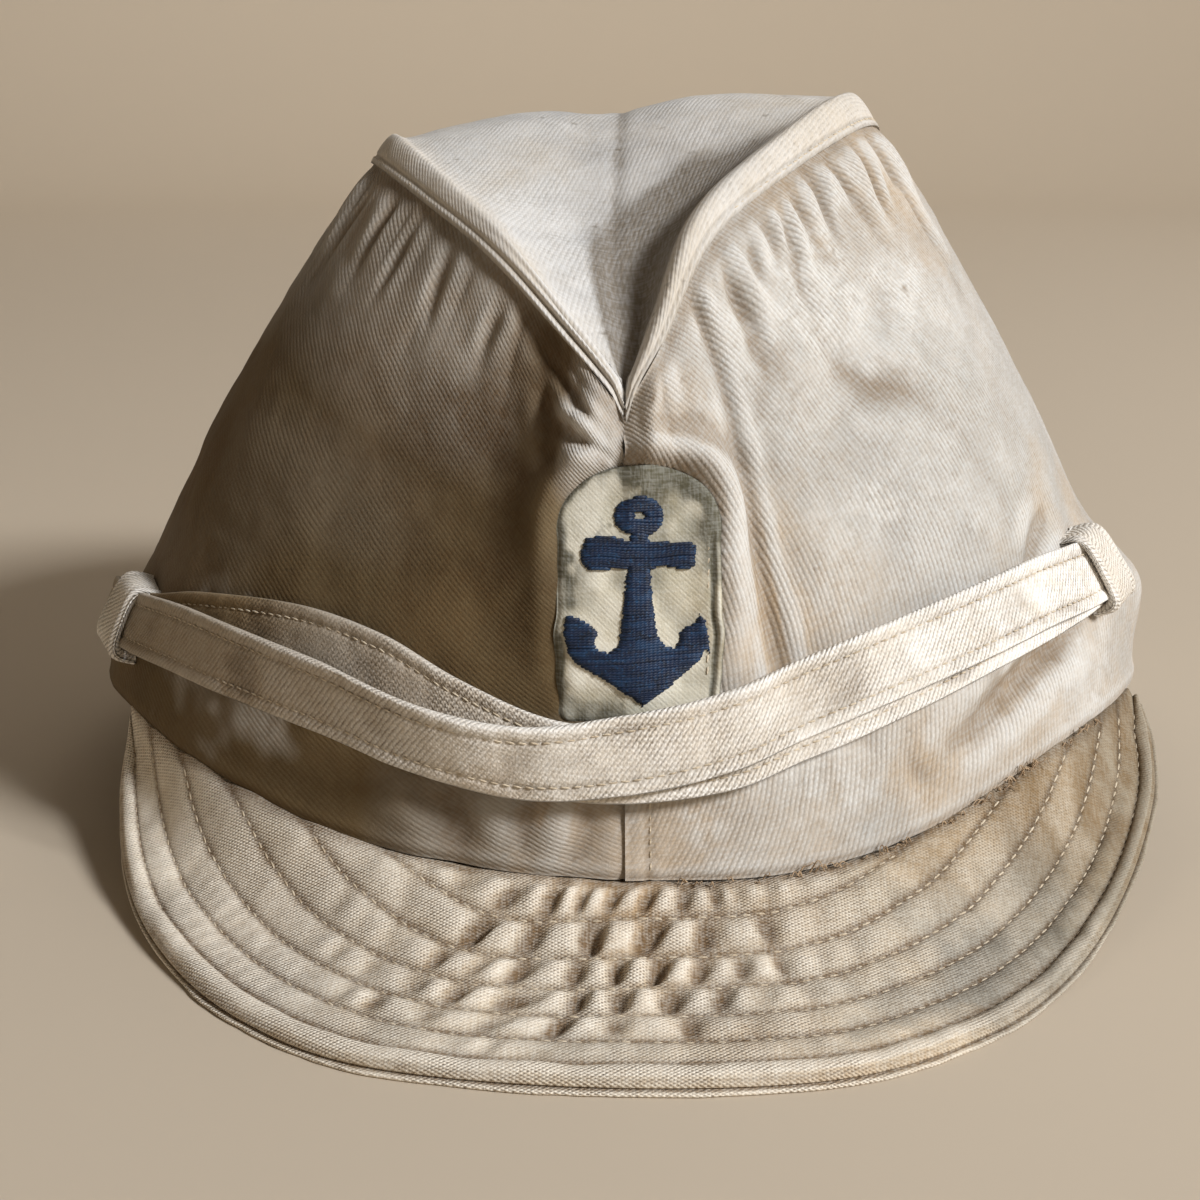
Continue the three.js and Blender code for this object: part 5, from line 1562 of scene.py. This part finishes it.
@dataclass(frozen=True)
class Badge:
    """An arched patch with a raised anchor worked in level rows of satin stitch."""

    form: CrownForm
    middle: float = 1.4
    bottom: float = 35.0
    top: float = 70.5
    half: float = 11.3
    shoulder: float = 9.4
    cloth: float = 0.9
    off: float = 0.1
    foot: float = 34.8
    corner: float = 2.0
    raised: float = 0.7
    row: float = 0.36
    ring_z: float = 63.4
    ring_half: float = 3.35
    ring_high: float = 2.65
    ring_hole: float = 0.62

    def half_width(self, height: Array) -> Array:
        """Half the patch's width at a height: straight sides under a round arch, over round corners."""
        above = np.maximum(height - (self.top - self.shoulder), 0) / self.shoulder
        below = np.clip((self.foot + self.corner - height) / self.corner, 0, 0.999)
        spread = (self.half + 0.6 * hump(height - 48, 20.0)) * np.sqrt(np.maximum(1 - above * above, 0))
        return spread - self.corner * (1 - np.sqrt(1 - below * below))

    def swell(self, x: Array, height: Array) -> Array:
        """The patch's unevenness, which the anchor follows."""
        return rough(x, height, (0.2, 3.4, 81), (0.5, 7.0, 82))

    def patch(self) -> Fabric:
        """The patch as a closed sheet laid on the crown's front, its edge turned under in a soft
        welt with a stitched groove inside it."""
        t = np.linspace(0.004, 1, 120)
        share = 0.5 - 0.5 * np.cos(t * 0.985 * math.pi) / math.cos(0.015 * math.pi)
        height = lerp(self.foot, self.top - 0.12, share)[:, None]
        half = self.half_width(height) + 0.4 * roughen(height, 0 * height, 4.2, 85)
        x, height = np.broadcast_arrays(np.linspace(-1, 1, 81) * half, height)
        arch = np.minimum(half - np.abs(x), np.minimum((self.top - height) * 1.2, height - self.foot + 0.4))
        right = held(x / 2) * ramp(height, 62, -4)
        welt = 0.35 * hump(arch - 0.5, 0.5) - 0.35 * hump(arch - 1.3, 0.35)
        relief = right * welt - 0.45 * hump(arch, 0.5) - 0.3 * (1 - right) * hump(arch, 2.0)
        relief = relief + self.swell(x, height)
        outer = self.form.face(self.middle + x, height, self.off + self.cloth + relief)
        inner = self.form.face(self.middle + x, height, self.off - 0.3)
        soil, shade = self.soiling(x, height, arch, right)
        crest = np.clip(np.clip(relief / 0.4, -1, 1) - 1.6 * held(soil - 0.45), -1, 1)
        stain = 0.6 * held(1.1 - np.hypot(x + 6, height - 41) / 7 + self.ragged(x, height))
        return closed_sheet(outer, inner, beside(x, height), crest=crest, soil=held(soil + shade),
                            stain=stain)

    def ragged(self, x: Array, height: Array) -> Array:
        """The noise that breaks up the edges of the patch's marks."""
        return rough(x, height, (0.35, 4.0, 83), (0.25, 1.6, 84))

    def soiling(self, x: Array, height: Array, arch: Array, right: Array) -> tuple[Array, Array]:
        """Soil and painted shadow round the patch's edge, most of all at its top and right shoulder under the
        overhanging fold, and paler painted shade inside it."""
        ragged = self.ragged(x, height)
        soil = 0.95 * held(1.5 - (self.top - height) / (2.6 + 2.0 * (x > 0)) + 1.8 * ragged)
        soil = soil + (1 - 0.6 * right) * held(1.2 - arch / 1.7 + 2.0 * ragged)
        # Painted shadow of the overhanging fold over the right shoulder, with the soil.
        shoulder = ramp(x, -3, 2) * ramp(height, 59, 3)
        soil = soil + 0.9 * right * hump(arch - 1.3, 0.4)
        soil = soil + 1.3 * shoulder * held(2.3 - arch / 1.5 + 1.2 * ragged)
        # Painted shade over the upper part and in two patches inside the edge.
        shade = 0.2 * held((height - 56) / 8 + ragged)
        for much, at_x, at_height, flat, size in ((0.6, 8.5, 61, 0.6, 5.0), (0.5, -9.0, 53, 0.7, 3.6)):
            away = np.hypot(x - at_x, (height - at_height) * flat)
            shade = shade + much * held(0.9 - away / size + 1.3 * ragged)
        return soil, shade

    def spans(self) -> list[Point]:
        """The filled spans of every row of the anchor.

        Returns:
            Height, left and right of each span: where the row crosses the outline, taken in pairs, then
            the ring with its small hole.
        """
        found: list[Point] = []
        start, end = ANCHOR, np.roll(ANCHOR, -1, 0)
        for z in np.arange(start[:, 1].min() + 0.15, self.ring_z + self.ring_high, self.row).tolist():
            crossed = (start[:, 1] > z) != (end[:, 1] > z)
            a, b = start[crossed], end[crossed]
            meets = np.sort(a[:, 0] + (b[:, 0] - a[:, 0]) * (z - a[:, 1]) / (b[:, 1] - a[:, 1])).tolist()
            found += [(z, left, right) for left, right in zip(meets[::2], meets[1::2])]
            level = (z - self.ring_z) / self.ring_high
            if abs(level) < 1:
                reach = self.ring_half * math.sqrt(1 - level * level)
                hole = self.ring_hole**2 - (z - self.ring_z) ** 2
                near = math.sqrt(hole) + 0.1 if hole > 0 else 0.0
                found += [(z, near, reach), (z, -reach, -near)] if near else [(z, -reach, reach)]
        return found

    def anchor(self) -> Fabric:
        """The anchor as joined strands: each span of each row is a tube, low at its two ends and
        proud between, with ends that vary a little."""
        draw = np.random.default_rng(91)
        z, left, right = np.array(self.spans()).T[..., None]
        count, along, ring = len(z), 15, 8
        left = self.middle + left - 0.1 + draw.normal(0, 0.08, (count, 1))
        right = self.middle + right + 0.1 + draw.normal(0, 0.08, (count, 1))
        t = 0.5 - 0.5 * np.cos(np.linspace(0, math.pi, along))
        x = lerp(left, right, t)
        from_end = np.minimum(t, 1 - t) * (right - left)
        lean = 0.05 * (x - self.middle) * (z < 50)
        height = z + 0.2 * roughen(x, z, 3.4, 92) + draw.normal(0, 0.04, (count, 1)) + lean
        rise = self.off + self.cloth - 0.25 + self.raised * np.sqrt(np.clip(from_end / 0.7, 0.02, 1)) * 0.75
        rise = rise + 0.04 * draw.normal(0, 1, (count, 1)) + self.swell(x - self.middle, z)
        angle = np.linspace(0, math.tau, ring, endpoint=False)
        radius = 0.27 * np.sqrt(np.clip(from_end / 0.25, 0.05, 1))[..., None]
        points = self.form.face(x[..., None], height[..., None] + radius * np.cos(angle) * 0.95,
                                rise[..., None] + radius * np.sin(angle))
        tone = 0.45 * draw.uniform(-1, 1, (count, 1))
        crest = np.repeat(np.clip(tone + 1.3 * roughen(x, z * 2.5, 1.5, 93), -1, 1)[..., None], ring, 2)
        uv = beside(x[..., None], angle * 0.3)
        return join([closed_tube(points[k], uv[k], crest=crest[k]) for k in range(count)])

    def stitches(self, thread: Thread, inset: float = 1.7) -> list[Fabric]:
        """Stitches round the patch's right shoulder and down that side, inside its welt."""
        round_arch = self.shoulder * math.pi / 2
        run = np.linspace(0.42, 1, 200) * (self.top - self.shoulder - self.bottom - 6 + round_arch)
        turn = (round_arch - np.minimum(run, round_arch)) / self.shoulder
        x = self.middle + (self.half - inset) * np.cos(turn)
        height = (self.top - self.shoulder + (self.shoulder - inset) * np.sin(turn)
                  - np.maximum(run - round_arch, 0))
        line = self.form.face(x, height, self.off + self.cloth - 0.1)
        return [thread.sew(line, unit(self.form.face(x, height, 6.0) - line), 95)]


@dataclass(frozen=True)
class FrayedSeam:
    """Broken thread ends standing up in curls along the right half of the peak's seam."""

    peak: Peak
    thick: float = 0.13
    steps: int = 26
    sides: int = 6

    def curl(self, share: float, long: float, draw: np.random.Generator) -> Fabric:
        """One curl: a helix that widens and sags along its length, swept as a thin tube."""
        t = np.linspace(0, 1, self.steps)
        angle = np.linspace(0, math.tau, self.sides, endpoint=False)
        rim, edge, _ = self.peak.base(np.array([share + draw.normal(0, 0.006)]))
        out, rise = unit((edge - rim) * [1, 1, 0])[0], np.array([0, 0, 1.0])
        along = np.array([-out[1], out[0], 0.0]) * draw.choice([-1, 1])
        start = rim[0] + out * draw.uniform(0.3, 0.9) + rise * draw.uniform(-0.2, 0.5)
        turns, radius = draw.uniform(0.6, 1.8), draw.uniform(0.25, 0.6)
        reach, lift = long * draw.uniform(0.5, 1.0), draw.uniform(0.15, 0.6)
        ahead = along * draw.uniform(0.4, 0.9) + out * draw.uniform(0.1, 0.5)
        phase = t * turns * math.tau
        path = (start + np.outer(t * reach, ahead) + np.outer(np.sin(t * math.pi * 0.8) * reach * lift, rise)
                + np.outer(np.cos(phase) * radius * t, out) + np.outer(np.sin(phase) * radius * t, rise))
        run = unit(np.gradient(path, axis=0))
        side = unit(np.cross(run, [0.1, 0.2, 1.0]))
        bow = np.cross(side, run)
        circle = side[:, None] * np.cos(angle)[:, None] + bow[:, None] * np.sin(angle)[:, None]
        ring = path[:, None] + self.thick * (1 - 0.6 * t)[:, None, None] * circle
        uv = beside((t * reach)[:, None], angle * self.thick)
        return closed_tube(ring, uv, crest=np.full(uv.shape[:2], draw.uniform(-1, 0.6)))

    def build(self) -> Fabric:
        """Every curl of every place, drawn in turn."""
        draw = np.random.default_rng(97)
        return join([self.curl(share, long, draw)
                     for share, count, long in FRAYS.values for _ in range(int(count))])


# The studio


@dataclass(frozen=True)
class Studio:
    """Plain pale floor curving up all round, soft lights and the camera."""

    focal: float = 51.0
    eye: Point = (-0.0041, -0.297, 0.120)
    pitch: float = 16.4
    flat: float = 1.8
    sweep: float = 1.0
    tall: float = 2.4
    around: int = 96

    def floor(self) -> None:
        """The floor: a disc, a quarter round and an upright wall, turned about the vertical."""
        count = self.around
        angle, bend = np.linspace(0, math.tau, count, endpoint=False), np.linspace(0, math.pi / 2, 20)[1:]
        disc = np.linspace(0.02, self.flat, 12)
        far = self.flat + self.sweep
        radius = np.concatenate([disc, self.flat + self.sweep * np.sin(bend), [far]])[:, None]
        height = np.concatenate([0 * disc, self.sweep * (1 - np.cos(bend)), [self.tall]])[:, None]
        ring = beside(radius * np.cos(angle), radius * np.sin(angle), height).reshape(-1, 3)
        fan = beside(len(ring), np.arange(count), np.roll(np.arange(count), -1))
        faces = grid_faces(len(radius), count, closed=True)[:, ::-1].tolist() + fan.tolist()
        mesh = bpy.data.meshes.new("floor")
        mesh.from_pydata(ring.tolist() + [[0, 0, 0]], [], faces)
        mesh.polygons.foreach_set("use_smooth", np.ones(len(mesh.polygons), bool))
        made = link("floor", mesh)
        paint = bpy.data.materials.new("floor_paint")
        paint.use_nodes = True
        skin = paint.node_tree.nodes["Principled BSDF"]
        skin.inputs["Base Color"].default_value = linear((200, 187, 168))
        skin.inputs["Roughness"].default_value = 0.75
        mesh.materials.append(paint)

    def light(self, name: str, place: Point, size: float, power: float, colour: Point,
              target: Point = (0.0, -0.02, 0.05)) -> None:
        """A square soft light at a place, aimed at a target, which is the cap unless it is given."""
        lamp = bpy.data.lights.new(name, "AREA")
        lamp.size, lamp.energy, lamp.color = size, power, colour
        made = link(name, lamp)
        made.location = place
        away = np.array(place) - np.array(target)
        made.rotation_euler = (math.acos(away[2] / np.linalg.norm(away)), 0.0, math.atan2(away[0], -away[1]))

    def build(self) -> None:
        """Floor, lights, pale surroundings and the camera."""
        self.floor()
        self.light("key", (1.66, -1.2, 1.42), 0.5, 69.0, (0.99, 0.99, 1.0))
        self.light("top", (1.1, 0.4, 2.0), 1.0, 4.0, (1.0, 0.97, 0.94))
        self.light("back", (0.0, 1.7, 2.1), 1.4, 16.0, (1.0, 0.97, 0.93), (0.0, 3.1, 0.7))
        scene = bpy.context.scene
        scene.world = bpy.data.worlds.new("room")
        scene.world.use_nodes = True
        room = scene.world.node_tree.nodes["Background"]
        room.inputs["Color"].default_value = (1.0, 0.82, 0.62, 1.0)
        room.inputs["Strength"].default_value = 0.034
        lens = bpy.data.cameras.new("camera")
        lens.lens, lens.sensor_width, lens.clip_start = self.focal, 36.0, 0.01
        scene.camera = link("camera", lens)
        scene.camera.location = self.eye
        scene.camera.rotation_euler = (math.radians(90 - self.pitch), 0.0, 0.0)
        scene.view_settings.view_transform = "Standard"


def main() -> None:
    """Builds the studio, then every piece of the cap in order."""
    logging.basicConfig(level=logging.INFO, format="%(name)s: %(message)s")
    Studio().build()
    form, finishes = CrownForm(), build_finishes()
    thread, webbing = finishes["tan_thread"], finishes["strap_twill"]
    sewing, fine = Thread(pitch=2.1, length=1.6, radius=0.19), Thread(pitch=1.7, length=1.3, radius=0.15)
    panels = [SidePanel(form, side) for side in Side]
    for panel in panels:
        dress(panel.build(), "twill_" + panel.name, finishes["washed_twill"], "cap_cloth", panel.name)
    seams = [row for panel in panels for row in panel.seam_stitches(fine)]
    dress(join(seams), "seam_stitches", thread, "cap_cloth")
    top = TopPanel(form)
    dress(top.build(), "creased_top", finishes["faded_twill"], "top_cloth", "top_panel")
    dress(join(top.stitches(fine)), "top_stitches", thread, "top_cloth")
    peak = Peak(form)
    dress(peak.build(), "quilted_peak", finishes["peak_canvas"], "peak_cloth", "peak")
    dress(join(peak.stitches(sewing)), "peak_stitches", thread, "peak_cloth")
    dress(FrayedSeam(peak).build(), "frayed_seam_threads", finishes["frayed_thread"], "peak_cloth")
    straps = [Strap(form, "strap_front", STRAP_FRONT),
              Strap(form, "strap_back", STRAP_BACK, seed=73, shade=0.95)]
    for strap in straps:
        dress(strap.build(), "twill_" + strap.name, webbing, "cap_cloth", strap.name)
    rows = [row for strap in straps for row in strap.stitches(fine)]
    dress(join(rows), "strap_stitches", thread, "cap_cloth")
    for keeper in (Keeper(form, "keeper_left", -0.355, 34.6, 6, 13.6),
                   Keeper(form, "keeper_right", 0.338, 44.0, -4, 15.0, skew=0.25)):
        dress(keeper.build(), "twill_" + keeper.name, webbing, "cap_cloth", keeper.name)
    badge = Badge(form)
    dress(badge.patch(), "arched_patch", finishes["badge_twill"], "patch_cloth", "badge_patch")
    dress(badge.anchor(), "satin_anchor", finishes["navy_floss"], "anchor_thread", "anchor")
    dress(join(badge.stitches(fine)), "patch_stitches", thread, "patch_cloth")


if __name__ == "__main__":
    main()
